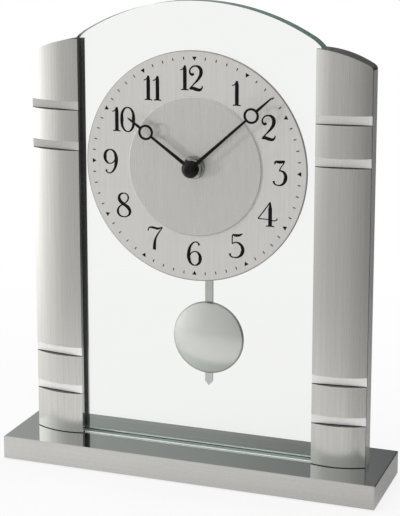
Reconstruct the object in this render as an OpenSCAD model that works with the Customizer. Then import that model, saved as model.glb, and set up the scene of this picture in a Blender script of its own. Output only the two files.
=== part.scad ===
// Desk pendulum clock: metal base, two slotted metal pillars, a clear arched glass pane between them,
// a round dial with a battery movement behind the glass, and a short pendulum that hangs behind the pane.
// X runs left to right, the clock faces -Y, Z is up, and the origin is the middle of the footprint.

/* [Base] */
// Width of the base slab
base_w = 190; // [180:1:220]
// Depth of the base slab
base_d = 48; // [40:1:70]
// Thickness of the base slab
base_h = 11.5; // [9:0.5:16]
// Small chamfer along the slab's edges
base_chamfer = 0.4; // [0.2:0.1:1]
// Radius of a foot pad
pad_r = 7; // [4:0.5:8]
// Thickness of a foot pad
pad_t = 1.6; // [1.2:0.1:2.4]
// Depth of the pocket that holds a foot pad
pad_pocket = 1; // [0.4:0.1:1.1]
// Distance of a foot pad's centre from the slab's sides
pad_inset = 12; // [11:0.5:16]

/* [Pillars] */
// Clear width between the two pillars
pillar_gap = 118.8; // [116:0.2:128]
// Width of a pillar
pillar_w = 25.8; // [24:0.2:28]
// Height of a pillar at its inner edge, above the slab
pillar_h = 198.4; // [190:0.2:205]
// Depth from the pillar's back face to the crown of its curved front
pillar_d = 13.3; // [13:0.1:16]
// Distance of the pillar's back face behind the middle of the pane
pillar_back = 5.5; // [5.4:0.1:8]
// Radius of the curved front
front_r = 33; // [31:1:60]
// Distance of the front's crown from the pillar's inner edge
front_crown = 9.1; // [6:0.1:12]
// Radius of the sloping top
top_r = 50; // [46:1:80]
// Distance of the top's highest line inside the pillar's inner edge
top_crown = 1.4; // [0:0.1:4]
// Rounding of the top's outer corner
top_corner_r = 3; // [1:0.5:5]
// Height of a polished band
band_h = 4.5; // [3:0.1:6]
// Depth of a band behind the pillar's front edges
band_cut = 0.15; // [0.1:0.05:0.6]
// Middle of the lowest band, above the slab
band_low = 22.7; // [16:0.1:30]
// Distance between the two lower bands
band_low_step = 19.5; // [12:0.1:26]
// Middle of the highest band, above the slab
band_high = 166.1; // [150:0.1:180]
// Distance between the two upper bands
band_high_step = 19.8; // [12:0.1:26]

/* [Pane] */
// Thickness of the glass pane
glass_t = 8; // [6:0.5:9]
// How far the pane reaches into each pillar
glass_grip = 6.6; // [3:0.1:7]
// Radius of the arched top of the pane
arch_r = 110.3; // [104:0.1:130]
// Height of the pane above the slab
glass_h = 218.2; // [210:0.1:224]
// Rounding where the arch meets the pane's upright edges
arch_corner_r = 20; // [10:1:24]
// Depth of the groove in the slab that holds the pane
groove_depth = 1.5; // [1:0.1:3]
// Play between the pane and each groove wall
glass_play = 0.15; // [0.1:0.05:0.3]

/* [Dial] */
// Radius of the dial
dial_r = 55.45; // [50:0.05:57]
// Thickness of the dial
dial_t = 1.1; // [0.6:0.1:1.6]
// Radius of the raised centre disc
disc_r = 33.45; // [28:0.05:38]
// Thickness of the centre disc
disc_t = 0.5; // [0.3:0.1:0.8]
// Height of the dial's centre above the slab
dial_h = 139.7; // [134:0.1:146]

/* [Hands] */
// Length of the hour hand
hour_len = 39.4; // [32:0.1:42]
// Length of the minute hand
minute_len = 54.3; // [46:0.1:55]
// Distance of the hour hand's ring from the shaft
hour_ring_at = 27.9; // [22:0.1:31]
// Distance of the minute hand's ring from the shaft
minute_ring_at = 40.5; // [34:0.1:43]
// Outer radius of a hand's ring
ring_r = 3.7; // [2.5:0.05:4]
// Thickness of a hand
hand_t = 0.5; // [0.3:0.1:0.5]
// Radius of the cap on the hands
cap_r = 4.3; // [3.6:0.1:5]
// Angle of the hour hand, clockwise from the twelve
hour_turned = 305.4; // [0:0.1:360]
// Angle of the minute hand, clockwise from the twelve
minute_turned = 48.1; // [0:0.1:360]

/* [Movement] */
// Width of the movement case
case_w = 56; // [56:1:60]
// Depth of the movement case
case_d = 16; // [16:0.5:18]
// Case above the shaft
case_up = 28; // [28:0.5:30]
// Case below the shaft
case_down = 46; // [46:0.5:48]
// Wall of the case
case_wall = 1.5; // [1.2:0.1:1.6]
// Thickness of the rear cover
cover_t = 2; // [1.6:0.1:2.2]
// Outer radius of the threaded bushing
bushing_r = 4; // [4:0.1:4.5]
// Thickness of the rubber washer
rubber_t = 0.6; // [0.4:0.1:1]
// Thickness of the nut
nut_t = 2.2; // [1.6:0.1:2.6]
// Thickness of the washer under the nut
washer_t = 0.4; // [0.3:0.1:0.6]
// Diameter of the battery
battery_d = 14.2; // [14:0.1:14.4]
// Length of the battery
battery_len = 50.2; // [49:0.1:50.4]
// Radius of the setting knob
knob_r = 5.5; // [4:0.5:7]
// How far the setting knob stands out behind the case
knob_out = 3.4; // [3:0.1:4]

/* [Pendulum] */
// Distance from the shaft down to the pendulum's pivot
pivot_drop = 20; // [19.5:0.1:21]
// Distance from the pivot to the middle of the bob
bob_drop = 69.6; // [62:0.1:76]
// Radius of the bob
bob_r = 18.3; // [14:0.1:20]
// Thickness of the bob
bob_t = 4.4; // [3:0.1:6]
// Width of the pendulum rod
rod_w = 4; // [3:0.1:6]
// Thickness of the pendulum rod
rod_t = 1; // [0.6:0.1:1.2]
// Length of the rod's tail below the bob
tail_len = 4.6; // [3:0.1:10]

/* [Fits] */
// Radial clearance of a running fit
run_fit = 0.05; // [0.03:0.01:0.08]
// Clearance between parts that must not rub
air = 0.3; // [0.2:0.05:0.4]

/* [Hidden] */
$fn = 96;
eps = 0.01;
big = 400;

// Heights
slab_z = pad_t - pad_pocket;
top_z = slab_z + base_h;
shaft_z = top_z + dial_h;

// Pillar plan
pillar_in = pillar_gap / 2;
pillar_out = pillar_in + pillar_w;
crown_x = pillar_in + front_crown;
crown_y = pillar_back - pillar_d;
function front_y(x) = crown_y + front_r - sqrt(front_r * front_r - (x - crown_x) * (x - crown_x));
inner_front_y = front_y(pillar_in);
outer_front_y = front_y(pillar_out);
top_axis_x = pillar_in - top_crown;
top_axis_z = top_z + pillar_h - top_r;
top_corner_x = pillar_out - top_corner_r;
top_corner_reach = top_r - top_corner_r;
top_corner_run = top_corner_x - top_axis_x;
top_corner_z = top_axis_z + sqrt(top_corner_reach * top_corner_reach - top_corner_run * top_corner_run);
bands = [band_low, band_low + band_low_step, band_high - band_high_step, band_high];
slot_y = glass_t / 2 + glass_play;
slot_depth = glass_grip + glass_play;

// Screws that hold the pillars
screw_r = 2;
screw_head_r = 3.8;
screw_head_h = 2.1;
screw_bite = 11;
screw_hole_play = 0.15;
screw_margin = 4.6;
screw_xs = [pillar_in + slot_depth + screw_margin, pillar_out - screw_margin];

// Pane
pane_half = pillar_in + glass_grip;
arch_z = top_z + glass_h - arch_r;
arch_corner_x = pane_half - arch_corner_r;
arch_corner_reach = arch_r - arch_corner_r;
arch_corner_z = arch_z + sqrt(arch_corner_reach * arch_corner_reach - arch_corner_x * arch_corner_x);
shaft_hole_r = bushing_r + 0.5;

// Washers and nut
washer_r = 5.6;
nut_r = 5.5;
rubber_r = 11;

// Stack along the shaft, from the pane forward
dial_back = -glass_t / 2;
dial_front = dial_back - dial_t;
disc_front = dial_front - disc_t;
washer_front = disc_front - washer_t;
nut_front = washer_front - nut_t;
bushing_end = nut_front - 1.5;
hour_hand_back = bushing_end - air;
hour_hand_front = hour_hand_back - hand_t;
hour_tube_end = hour_hand_front - 0.2;
minute_hand_back = hour_tube_end - 0.5;
minute_hand_front = minute_hand_back - hand_t;
arbor_end = minute_hand_front - 0.8;
cap_h = 2.3;

// Radii of the concentric shafts
arbor_r = 1.6;
tube_in_r = arbor_r + run_fit;
tube_r = 2.6;
bushing_bore_r = tube_r + run_fit;
hour_hub_r = 4;

// Movement case
case_front = glass_t / 2 + rubber_t;
inner_front = case_front + case_wall;
case_back = case_front + case_d;
cover_front = case_back - cover_t;
case_half = case_w / 2;
inner_half = case_half - case_wall;
bay_play = 0.2;
battery_r = battery_d / 2;
bay_half_h = battery_r + bay_play;
battery_z = case_up - case_wall - bay_half_h;
battery_y = case_back - bay_play - battery_r;
bay_front = battery_y - battery_r - bay_play;
bay_floor = battery_z - bay_half_h;
train_top = bay_floor - case_wall;
leaf_t = 0.4;
leaf_w = 8;
leaf_h = 9;
contact_gap = 0.1;
contact_reach = inner_half - leaf_t - battery_len / 2 - contact_gap;
button_r = 2.7;
button_h = 1.2;
flange_r = 6;
flange_t = 0.6;

// Train layers, counted from the inside of the case's front wall
hour_wheel_y = inner_front + flange_t + 0.2;
wheel_t = 1;
pinion_y = hour_wheel_y + wheel_t + 0.5;
plate_front = pinion_y + wheel_t + 0.6;
plate_t = 1;
plate_back = plate_front + plate_t;
centre_wheel_y = plate_back + 0.5;
thin_wheel_t = 0.8;
clutch_gap = 0.05;
clutch_t = 0.25;
arbor_back = centre_wheel_y + thin_wheel_t + clutch_gap + clutch_t;
third_wheel_y = arbor_back + 0.35;
fourth_wheel_y = third_wheel_y + thin_wheel_t + 0.6;
intermediate_wheel_y = fourth_wheel_y + thin_wheel_t + 0.6;
arbor_step_r = 1.2;
thin_arbor_r = 0.8;
setting_r = 1;
shoulder = 0.2;
knob_seat = 2.6;
rib = 0.8;
pivot_r = 0.5;
pivot_len = 0.8;

// Teeth of each mesh, and the centre distances that follow from them
tooth_add = 0.8;
tooth_ded = 1.15;
tooth_fill = 0.82;
train_module = 0.3;
fast_module = 0.25;
cannon_teeth = 12;
motion_teeth = 36;
motion_pinion_teeth = 10;
hour_teeth = 40;
centre_teeth = 60;
pinion_teeth = 8;
third_teeth = 64;
fourth_teeth = 48;
intermediate_teeth = 40;
cannon_module = 0.45;
motion_dist = cannon_module * (cannon_teeth + motion_teeth) / 2;
hour_module = 2 * motion_dist / (hour_teeth + motion_pinion_teeth);
third_dist = train_module * (centre_teeth + pinion_teeth) / 2;
fourth_dist = train_module * (third_teeth + pinion_teeth) / 2;
intermediate_dist = fast_module * (fourth_teeth + pinion_teeth) / 2;
rotor_dist = fast_module * (intermediate_teeth + pinion_teeth) / 2;
motion_at = [motion_dist, 0];
third_at = [-third_dist, 0];
fourth_at = [third_at[0], -fourth_dist];
intermediate_at = [fourth_at[0] + intermediate_dist, fourth_at[1]];
rotor_at = [intermediate_at[0] + rotor_dist, fourth_at[1]];

// Angle of the second gear so that its gap meets the first gear's tooth on the line of centres
function mesh_phase(line, phase, teeth, other_teeth) =
    line + 180 - (0.5 - (line - phase) * teeth / 360) * 360 / other_teeth;
motion_phase = mesh_phase(0, 0, cannon_teeth, motion_teeth);
hour_phase = mesh_phase(180, 0, motion_pinion_teeth, hour_teeth);
third_phase = mesh_phase(90, 0, pinion_teeth, third_teeth);
centre_phase = mesh_phase(0, 0, pinion_teeth, centre_teeth);
intermediate_phase = mesh_phase(0, 0, fourth_teeth, pinion_teeth);
rotor_phase = mesh_phase(0, 0, intermediate_teeth, pinion_teeth);

// Motor
magnet_r = 2.5;
magnet_y = centre_wheel_y + thin_wheel_t + 0.3;
magnet_t = 2.6;
stator_t = 0.8;
stator_y = magnet_y + (magnet_t - stator_t) / 2;
stator_hole_r = magnet_r + 0.5;
stator_w = 8.5;
stator_left = rotor_at[0] - stator_hole_r - 1;
stator_right = 24;
coil_r = 3.2;
coil_left = 9;
coil_len = 12;
core_half = 1.8;
stud_r = 1.2;
stud_up = 2.8;
plate_margin = 6;

// Board
board_left = motion_at[0] + 2.7;
board_w = 9;
board_low = -5;
board_h = 14.5;
board_t = 1;
chip_r = 2.2;
chip_t = 0.8;
chip_up = 3.4;
crystal_down = 3;
crystal_r = 1;
crystal_len = 6;

// Screws of the cover
boss_r = 2;
boss_inset = 3;
small_screw_r = 0.9;
small_head_r = 1.7;
small_head_h = 0.9;
small_bite = 5;
boss_spots = [for (sx = [-1, 1], z = [-case_down + boss_inset, train_top - boss_inset + case_wall / 2])
    [sx * (case_half - boss_inset), z]];

// Pendulum drive and hanger
pin_r = 0.8;
pin_seat = 2;
pin_end = 1.2;
pivot_boss_r = 2;
hanger_t = 1.3;
hanger_back = cover_front - air;
hanger_front = hanger_back - hanger_t;
hanger_w = 4;
hook_drop = 5;
drive_rise = 8;
pivot_z = -pivot_drop;
hook_z = -case_down - hook_drop;
hook_r = 0.9;
hook_head = 0.6;
rod_eye = 2.6;
eye_r = 2.6;
magnet_rim = 0.8;
drive_z = -case_down + drive_rise;
drive_magnet_r = 4.5;
drive_magnet_t = 2.4;
drive_gap = 0.5;
drive_coil_r = 6.5;
drive_core_r = 1.5;
drive_coil_front = inner_front;
drive_coil_back = hanger_front - drive_magnet_t - drive_gap;
slot_half = 8;
rod_front = hanger_back + 0.1;
rod_back = rod_front + rod_t;
clip_t = 0.8;
hook_lip = 0.8;
hook_end = rod_back + 0.8;
bob_z = pivot_z - bob_drop;
bob_rim = 0.8;
tip_h = 2.2;
tail_end = bob_z - bob_r - tail_len - tip_h;

// A round bar along Y from y0 to y1, at a place given from the shaft
module bar(r, y0, y1, at = [0, 0], r2 = -1) {
    translate([at[0], y0, shaft_z + at[1]])
        rotate([-90, 0, 0])
            cylinder(h = y1 - y0, r1 = r, r2 = r2 < 0 ? r : r2);
}

// A block between two corners, at a place given from the shaft
module block(x0, x1, y0, y1, z0, z1) {
    translate([x0, y0, shaft_z + z0])
        cube([x1 - x0, y1 - y0, z1 - z0]);
}

// Lifts a drawing made in X and Z to the shaft and gives it depth from y0 to y1
module drawn(y0, y1, at = [0, 0]) {
    translate([at[0], y1, shaft_z + at[1]])
        rotate([90, 0, 0])
            linear_extrude(height = y1 - y0)
                children();
}

// Outline of a toothed wheel with one tooth centred at the phase angle
module teeth_outline(teeth, m, phase) {
    pitch_r = m * teeth / 2;
    tip_r = pitch_r + tooth_add * m;
    root_r = pitch_r - tooth_ded * m;
    half = 90 / teeth * tooth_fill;
    flank = [[root_r, -1.35], [pitch_r, -1], [tip_r, -0.45], [tip_r, 0.45], [pitch_r, 1], [root_r, 1.35]];
    polygon([for (i = [0 : teeth - 1], p = flank)
        let (a = phase + i * 360 / teeth + p[1] * half)
        [p[0] * cos(a), p[0] * sin(a)]]);
}

module gear(teeth, m, phase, y0, y1, at = [0, 0]) {
    drawn(y0, y1, at)
        teeth_outline(teeth, m, phase);
}

// Bore for a bar, cut a little past both faces
module bore(r, y0, y1, at = [0, 0]) {
    bar(r, y0 - eps, y1 + eps, at);
}

// Base

module foot_pads() {
    color("dimgray")
        for (sx = [-1, 1], sy = [-1, 1])
            translate([sx * (base_w / 2 - pad_inset), sy * (base_d / 2 - pad_inset), 0])
                cylinder(r = pad_r, h = pad_t);
}

module chamfered_slab() {
    c = base_chamfer;
    w = base_w / 2;
    d = base_d / 2;
    intersection() {
        translate([0, 0, slab_z])
            linear_extrude(height = base_h)
                polygon([[-w + c, -d], [w - c, -d], [w, -d + c], [w, d - c],
                         [w - c, d], [-w + c, d], [-w, d - c], [-w, -d + c]]);
        translate([0, d, 0])
            rotate([90, 0, 0])
                linear_extrude(height = base_d)
                    polygon([[-w + c, slab_z], [w - c, slab_z], [w, slab_z + c], [w, top_z - c],
                             [w - c, top_z], [-w + c, top_z], [-w, top_z - c], [-w, slab_z + c]]);
        translate([-w, 0, 0])
            rotate([90, 0, 90])
                linear_extrude(height = base_w)
                    polygon([[-d + c, slab_z], [d - c, slab_z], [d, slab_z + c], [d, top_z - c],
                             [d - c, top_z], [-d + c, top_z], [-d, top_z - c], [-d, slab_z + c]]);
    }
}

module base_slab() {
    color("gainsboro")
        difference() {
            chamfered_slab();
            for (sx = [-1, 1], sy = [-1, 1])
                translate([sx * (base_w / 2 - pad_inset), sy * (base_d / 2 - pad_inset), 0])
                    cylinder(r = pad_r, h = pad_t);
            translate([-pane_half - glass_play, -slot_y, top_z - groove_depth])
                cube([2 * (pane_half + glass_play), 2 * slot_y, groove_depth + eps]);
            for (sx = [-1, 1], x = screw_xs)
                translate([sx * x, 0, slab_z]) {
                    translate([0, 0, -eps])
                        cylinder(r = screw_r + screw_hole_play, h = base_h + 2 * eps);
                    translate([0, 0, -1])
                        cylinder(r = screw_head_r, h = 1);
                    cylinder(r1 = screw_head_r, r2 = screw_r, h = screw_head_h);
                }
        }
}

// Pillars

module pillar() {
    difference() {
        intersection() {
            translate([pillar_in, crown_y - 1, top_z])
                cube([pillar_w, pillar_d + 1, pillar_h]);
            translate([crown_x, crown_y + front_r, top_z])
                cylinder(r = front_r, h = pillar_h, $fn = 180);
            union() {
                translate([top_axis_x, crown_y - 1, top_axis_z])
                    rotate([-90, 0, 0])
                        cylinder(r = top_r, h = pillar_d + 2, $fn = 180);
                translate([pillar_in - 1, crown_y - 1, top_z])
                    cube([pillar_w + 2, pillar_d + 2, top_axis_z - top_z]);
            }
        }
        // outer top corner
        difference() {
            translate([top_corner_x, pillar_back + 1, top_corner_z])
                rotate([90, 0, 0])
                    linear_extrude(height = pillar_d + 2)
                        polygon([[0, 0], [3 * top_corner_r, 0], [3 * top_corner_r, 3 * top_corner_r],
                                 [3 * top_corner_r * top_corner_run / top_corner_reach,
                                  3 * top_corner_r * (top_corner_z - top_axis_z) / top_corner_reach]]);
            translate([top_corner_x, crown_y - 2, top_corner_z])
                rotate([-90, 0, 0])
                    cylinder(r = top_corner_r, h = pillar_d + 4);
        }
        // polished bands, cut back a little behind the two front edges
        for (b = bands)
            translate([0, 0, top_z + b - band_h / 2])
                linear_extrude(height = band_h)
                    polygon([[pillar_in - 1, crown_y - 2], [pillar_in - 1, inner_front_y + band_cut],
                             [pillar_in, inner_front_y + band_cut], [pillar_out, outer_front_y + band_cut],
                             [pillar_out + 1, outer_front_y + band_cut], [pillar_out + 1, crown_y - 2]]);
        // slot for the pane
        translate([pillar_in - 1, -slot_y, top_z - eps])
            cube([slot_depth + 1, 2 * slot_y, pillar_h + 2 * eps]);
        for (x = screw_xs)
            translate([x, 0, top_z - eps])
                cylinder(r = screw_r, h = screw_bite + air);
    }
}

module right_pillar() {
    color("silver")
        pillar();
}

module left_pillar() {
    color("silver")
        mirror([1, 0, 0])
            pillar();
}

module pillar_screws() {
    color("slategray")
        for (sx = [-1, 1], x = screw_xs)
            translate([sx * x, 0, slab_z])
                difference() {
                    union() {
                        cylinder(r = screw_r, h = base_h + screw_bite);
                        cylinder(r1 = screw_head_r, r2 = screw_r, h = screw_head_h);
                    }
                    translate([0, 0, -eps])
                        cylinder(r = 1.2, h = 1.2, $fn = 6);
                }
}

// Pane

module glass_panel() {
    color("azure", 0.35)
        difference() {
            intersection() {
                translate([-pane_half, -glass_t / 2, top_z - groove_depth])
                    cube([2 * pane_half, glass_t, glass_h + groove_depth]);
                union() {
                    translate([0, -glass_t / 2 - 1, arch_z])
                        rotate([-90, 0, 0])
                            cylinder(r = arch_r, h = glass_t + 2, $fn = 360);
                    translate([-pane_half - 1, -glass_t / 2 - 1, top_z - groove_depth])
                        cube([2 * pane_half + 2, glass_t + 2, arch_z - top_z + groove_depth]);
                }
            }
            for (sx = [0, 1])
                mirror([sx, 0, 0])
                    difference() {
                        translate([arch_corner_x, glass_t / 2 + 1, arch_corner_z])
                            rotate([90, 0, 0])
                                linear_extrude(height = glass_t + 2)
                                    polygon([[0, 0], [2 * arch_corner_r, 0],
                                             [2 * arch_corner_r, 2 * arch_corner_r],
                                             [2 * arch_corner_r * arch_corner_x / arch_corner_reach,
                                              2 * arch_corner_r * (arch_corner_z - arch_z)
                                              / arch_corner_reach]]);
                        translate([arch_corner_x, -glass_t / 2 - 2, arch_corner_z])
                            rotate([-90, 0, 0])
                                cylinder(r = arch_corner_r, h = glass_t + 4, $fn = 120);
                    }
            bore(shaft_hole_r, -glass_t / 2, glass_t / 2);
        }
}

// Dial

module dial_plate() {
    color("gainsboro")
        difference() {
            bar(dial_r, dial_front, dial_back);
            bore(bushing_r, dial_front, dial_back);
        }
}

module dial_centre_disc() {
    color("silver")
        difference() {
            bar(disc_r, disc_front, dial_front);
            bore(bushing_r, disc_front, dial_front);
        }
}

module brass_washer() {
    color("goldenrod")
        difference() {
            bar(washer_r, washer_front, disc_front);
            bore(bushing_r, washer_front, disc_front);
        }
}

module hex_nut() {
    color("darkkhaki")
        difference() {
            drawn(nut_front, washer_front)
                circle(r = nut_r, $fn = 6);
            bore(bushing_r, nut_front, washer_front);
        }
}

module rubber_washer() {
    color("black")
        difference() {
            bar(rubber_r, glass_t / 2, case_front);
            bore(bushing_r, glass_t / 2, case_front);
        }
}

module threaded_bushing() {
    color("goldenrod")
        difference() {
            union() {
                bar(bushing_r, bushing_end, inner_front + flange_t);
                bar(flange_r, inner_front, inner_front + flange_t);
            }
            bore(bushing_bore_r, bushing_end, inner_front + flange_t);
        }
}

// Hands

hour_angle = 90 - hour_turned;
minute_angle = 90 - minute_turned;
hand_wide = 0.9;
ring_wall = 1.05;
tip_wide = 0.35;

// A slim hand along +X with a ring before its point
module hand_outline(length, ring_at, hub_r, bore_r) {
    difference() {
        union() {
            circle(r = hub_r);
            polygon([[0, -hand_wide], [ring_at - ring_r + 0.2, -hand_wide * 0.6],
                     [ring_at - ring_r + 0.2, hand_wide * 0.6], [0, hand_wide]]);
            polygon([[ring_at + ring_r - 0.2, -hand_wide * 0.75], [length - 1.2, -tip_wide],
                     [length, 0], [length - 1.2, tip_wide], [ring_at + ring_r - 0.2, hand_wide * 0.75]]);
            translate([ring_at, 0])
                circle(r = ring_r);
        }
        translate([ring_at, 0])
            circle(r = ring_r - ring_wall);
        circle(r = bore_r);
    }
}

module hour_hand() {
    color("black")
        drawn(hour_hand_front, hour_hand_back)
            rotate(hour_angle)
                hand_outline(hour_len, hour_ring_at, hour_hub_r, tube_r);
}

module minute_hand() {
    color("black")
        drawn(minute_hand_front, minute_hand_back)
            rotate(minute_angle)
                hand_outline(minute_len, minute_ring_at, hour_hub_r - 0.6, arbor_r);
}

module hub_cap() {
    color("black")
        difference() {
            intersection() {
                bar(cap_r, minute_hand_front - cap_h, minute_hand_front);
                translate([0, minute_hand_front + cap_r - cap_h, shaft_z])
                    sphere(r = cap_r + 0.35);
            }
            bar(arbor_r, arbor_end, minute_hand_front + eps);
        }
}

// Motion work behind the hands

module centre_arbor() {
    color("ivory")
        union() {
            bar(arbor_r, arbor_end, centre_wheel_y - 0.2);
            bar(arbor_step_r, centre_wheel_y - 0.2 - eps, arbor_back);
            gear(cannon_teeth, cannon_module, 0, pinion_y, pinion_y + wheel_t);
        }
}

module hour_wheel() {
    color("ivory")
        difference() {
            union() {
                bar(tube_r, hour_tube_end, hour_wheel_y + wheel_t);
                gear(hour_teeth, hour_module, hour_phase, hour_wheel_y, hour_wheel_y + wheel_t);
            }
            bore(tube_in_r, hour_tube_end, hour_wheel_y + wheel_t);
        }
}

module motion_wheel() {
    color("ivory")
        union() {
            bar(pivot_r, inner_front - pivot_len, inner_front + shoulder + eps, motion_at);
            bar(setting_r, inner_front + shoulder, case_back + air, motion_at);
            gear(motion_pinion_teeth, hour_module, 0, hour_wheel_y - shoulder, pinion_y, motion_at);
            gear(motion_teeth, cannon_module, motion_phase, pinion_y, pinion_y + wheel_t, motion_at);
            bar(setting_r, case_back + air - eps, case_back + knob_seat, motion_at);
        }
}

module set_knob() {
    color("whitesmoke")
        difference() {
            union() {
                bar(knob_r, case_back + air, case_back + knob_out, motion_at);
                for (i = [0 : 17])
                    translate([motion_at[0], 0, shaft_z + motion_at[1]])
                        rotate([0, i * 20, 0])
                            translate([knob_r - rib / 2, case_back + air, -rib / 2])
                                cube([rib, knob_out - air, rib]);
            }
            bar(setting_r, case_back + air - eps, case_back + knob_seat, motion_at);
        }
}

module clutch_spring() {
    color("goldenrod")
        difference() {
            bar(3.4, arbor_back - clutch_t, arbor_back);
            bore(arbor_step_r, arbor_back - clutch_t, arbor_back);
        }
}

// Wheels of the drive train

module centre_wheel() {
    color("white")
        difference() {
            gear(centre_teeth, train_module, centre_phase, centre_wheel_y, centre_wheel_y + thin_wheel_t);
            bore(arbor_step_r + run_fit, centre_wheel_y, centre_wheel_y + thin_wheel_t);
        }
}

// An arbor with its two pivots, between the train plate and the rear cover
module pivoted_arbor(at) {
    bar(pivot_r, plate_back - pivot_len, cover_front + pivot_len, at);
    bar(thin_arbor_r, plate_back + 0.15, cover_front - 0.15, at);
}

module third_wheel() {
    color("white")
        union() {
            pivoted_arbor(third_at);
            gear(pinion_teeth, train_module, 0, centre_wheel_y - 0.1, third_wheel_y + eps, third_at);
            gear(third_teeth, train_module, third_phase,
                 third_wheel_y, third_wheel_y + thin_wheel_t, third_at);
        }
}

module fourth_wheel() {
    color("white")
        union() {
            pivoted_arbor(fourth_at);
            gear(pinion_teeth, train_module, 0, third_wheel_y - 0.1, fourth_wheel_y + eps, fourth_at);
            gear(fourth_teeth, fast_module, 0, fourth_wheel_y, fourth_wheel_y + thin_wheel_t, fourth_at);
        }
}

module intermediate_wheel() {
    color("white")
        union() {
            pivoted_arbor(intermediate_at);
            gear(pinion_teeth, fast_module, intermediate_phase,
                 fourth_wheel_y - 0.1, intermediate_wheel_y + eps, intermediate_at);
            gear(intermediate_teeth, fast_module, 0,
                 intermediate_wheel_y, intermediate_wheel_y + thin_wheel_t, intermediate_at);
        }
}

module rotor() {
    color("dimgray")
        union() {
            pivoted_arbor(rotor_at);
            bar(magnet_r, magnet_y, magnet_y + magnet_t, rotor_at);
            gear(pinion_teeth, fast_module, rotor_phase,
                 intermediate_wheel_y - 0.1, intermediate_wheel_y + thin_wheel_t + 0.1, rotor_at);
        }
}

module stator() {
    color("slategray")
        difference() {
            union() {
                block(stator_left, coil_left, stator_y, stator_y + stator_t,
                      rotor_at[1] - stator_w / 2, rotor_at[1] + stator_w / 2);
                block(coil_left - eps, stator_right, stator_y, stator_y + stator_t,
                      rotor_at[1] - core_half, rotor_at[1] + core_half);
                bar(stud_r, plate_back, stator_y + eps, [coil_left - stud_r, rotor_at[1] + stud_up]);
                bar(stud_r, plate_back, stator_y + eps, [stator_right - stud_r, rotor_at[1]]);
            }
            bore(stator_hole_r, stator_y, stator_y + stator_t, rotor_at);
        }
}

module drive_coil() {
    color("peru")
        difference() {
            translate([coil_left, stator_y + stator_t / 2, shaft_z + rotor_at[1]])
                rotate([0, 90, 0])
                    cylinder(r = coil_r, h = coil_len);
            block(coil_left - 1, coil_left + coil_len + 1, stator_y, stator_y + stator_t,
                  rotor_at[1] - core_half, rotor_at[1] + core_half);
        }
}

module circuit_board() {
    color("darkgreen")
        union() {
            block(board_left, board_left + board_w, plate_back, plate_back + board_t,
                  board_low, board_low + board_h);
            bar(chip_r, plate_back + board_t - eps, plate_back + board_t + chip_t,
                [board_left + board_w / 2, board_low + chip_up]);
        }
}

module quartz_crystal() {
    color("silver")
        translate([board_left + (board_w - crystal_len) / 2, plate_back + board_t + crystal_r,
                   shaft_z + board_low + board_h - crystal_down])
            rotate([0, 90, 0])
                cylinder(r = crystal_r, h = crystal_len);
}

module train_plate() {
    color("whitesmoke")
        difference() {
            block(-inner_half, inner_half, plate_front, plate_back, fourth_at[1] - plate_margin, train_top);
            bore(arbor_r + run_fit, plate_front, plate_back);
            bore(setting_r + run_fit, plate_front, plate_back, motion_at);
            for (at = [third_at, fourth_at, intermediate_at, rotor_at])
                bore(pivot_r + run_fit, plate_front, plate_back, at);
            for (at = boss_spots)
                bore(boss_r, plate_front, plate_back, at);
            block(coil_left - air, coil_left + coil_len + air, plate_front - eps, plate_back + eps,
                  rotor_at[1] - coil_r - air, rotor_at[1] + coil_r + air);
        }
}

// Movement case

module movement_case() {
    color("dimgray")
        difference() {
            union() {
                block(-case_half, case_half, case_front, cover_front, -case_down, train_top + eps);
                block(-case_half, case_half, case_front, case_back, train_top, case_up);
            }
            difference() {
                block(-inner_half, inner_half, inner_front, cover_front + eps,
                      -case_down + case_wall, train_top);
                for (at = boss_spots)
                    bar(boss_r, inner_front - eps, cover_front + 2 * eps, at);
                bar(pivot_boss_r, inner_front - eps, hanger_front - air, [0, pivot_z]);
                bar(drive_core_r, inner_front - eps, drive_coil_back, [0, drive_z]);
            }
            // battery bay, open at the back
            block(-inner_half, inner_half, bay_front, case_back + eps, bay_floor, battery_z + bay_half_h);
            // way out for the hanger
            block(-slot_half, slot_half, hanger_front - 2 * air, cover_front + eps,
                  -case_down - eps, -case_down + case_wall + eps);
            bore(bushing_r, case_front, inner_front);
            bar(pivot_r + run_fit, inner_front - pivot_len - air, inner_front + eps, motion_at);
            bar(pin_r, inner_front + pin_seat, cover_front + eps, [0, pivot_z]);
            for (at = boss_spots)
                bar(small_screw_r, cover_front - small_bite - air, cover_front + 3 * eps, at);
        }
}

module movement_cover() {
    color("gray")
        difference() {
            block(-case_half, case_half, cover_front, case_back, -case_down, train_top);
            bore(setting_r + run_fit, cover_front, case_back, motion_at);
            for (at = [third_at, fourth_at, intermediate_at, rotor_at])
                bar(pivot_r + run_fit, cover_front - eps, cover_front + pivot_len + 0.2, at);
            bar(pin_r, cover_front - eps, cover_front + pin_end, [0, pivot_z]);
            for (at = boss_spots) {
                bore(small_screw_r, cover_front, case_back, at);
                bar(small_head_r, case_back - small_head_h, case_back + eps, at);
            }
        }
}

module cover_screws() {
    color("silver")
        for (at = boss_spots)
            difference() {
                union() {
                    bar(small_screw_r, cover_front - small_bite, case_back - eps, at);
                    bar(small_head_r, case_back - small_head_h, case_back, at);
                }
                for (turn = [0, 90])
                    translate([at[0], 0, shaft_z + at[1]])
                        rotate([0, turn, 0])
                            translate([-1.1, case_back - 0.5, -0.2])
                                cube([2.2, 0.6, 0.4]);
            }
}

// Battery

module battery() {
    color("darkorange")
        translate([-battery_len / 2, battery_y, shaft_z + battery_z])
            rotate([0, 90, 0])
                union() {
                    cylinder(r = battery_r, h = battery_len - button_h);
                    cylinder(r = button_r, h = battery_len);
                }
}

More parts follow.
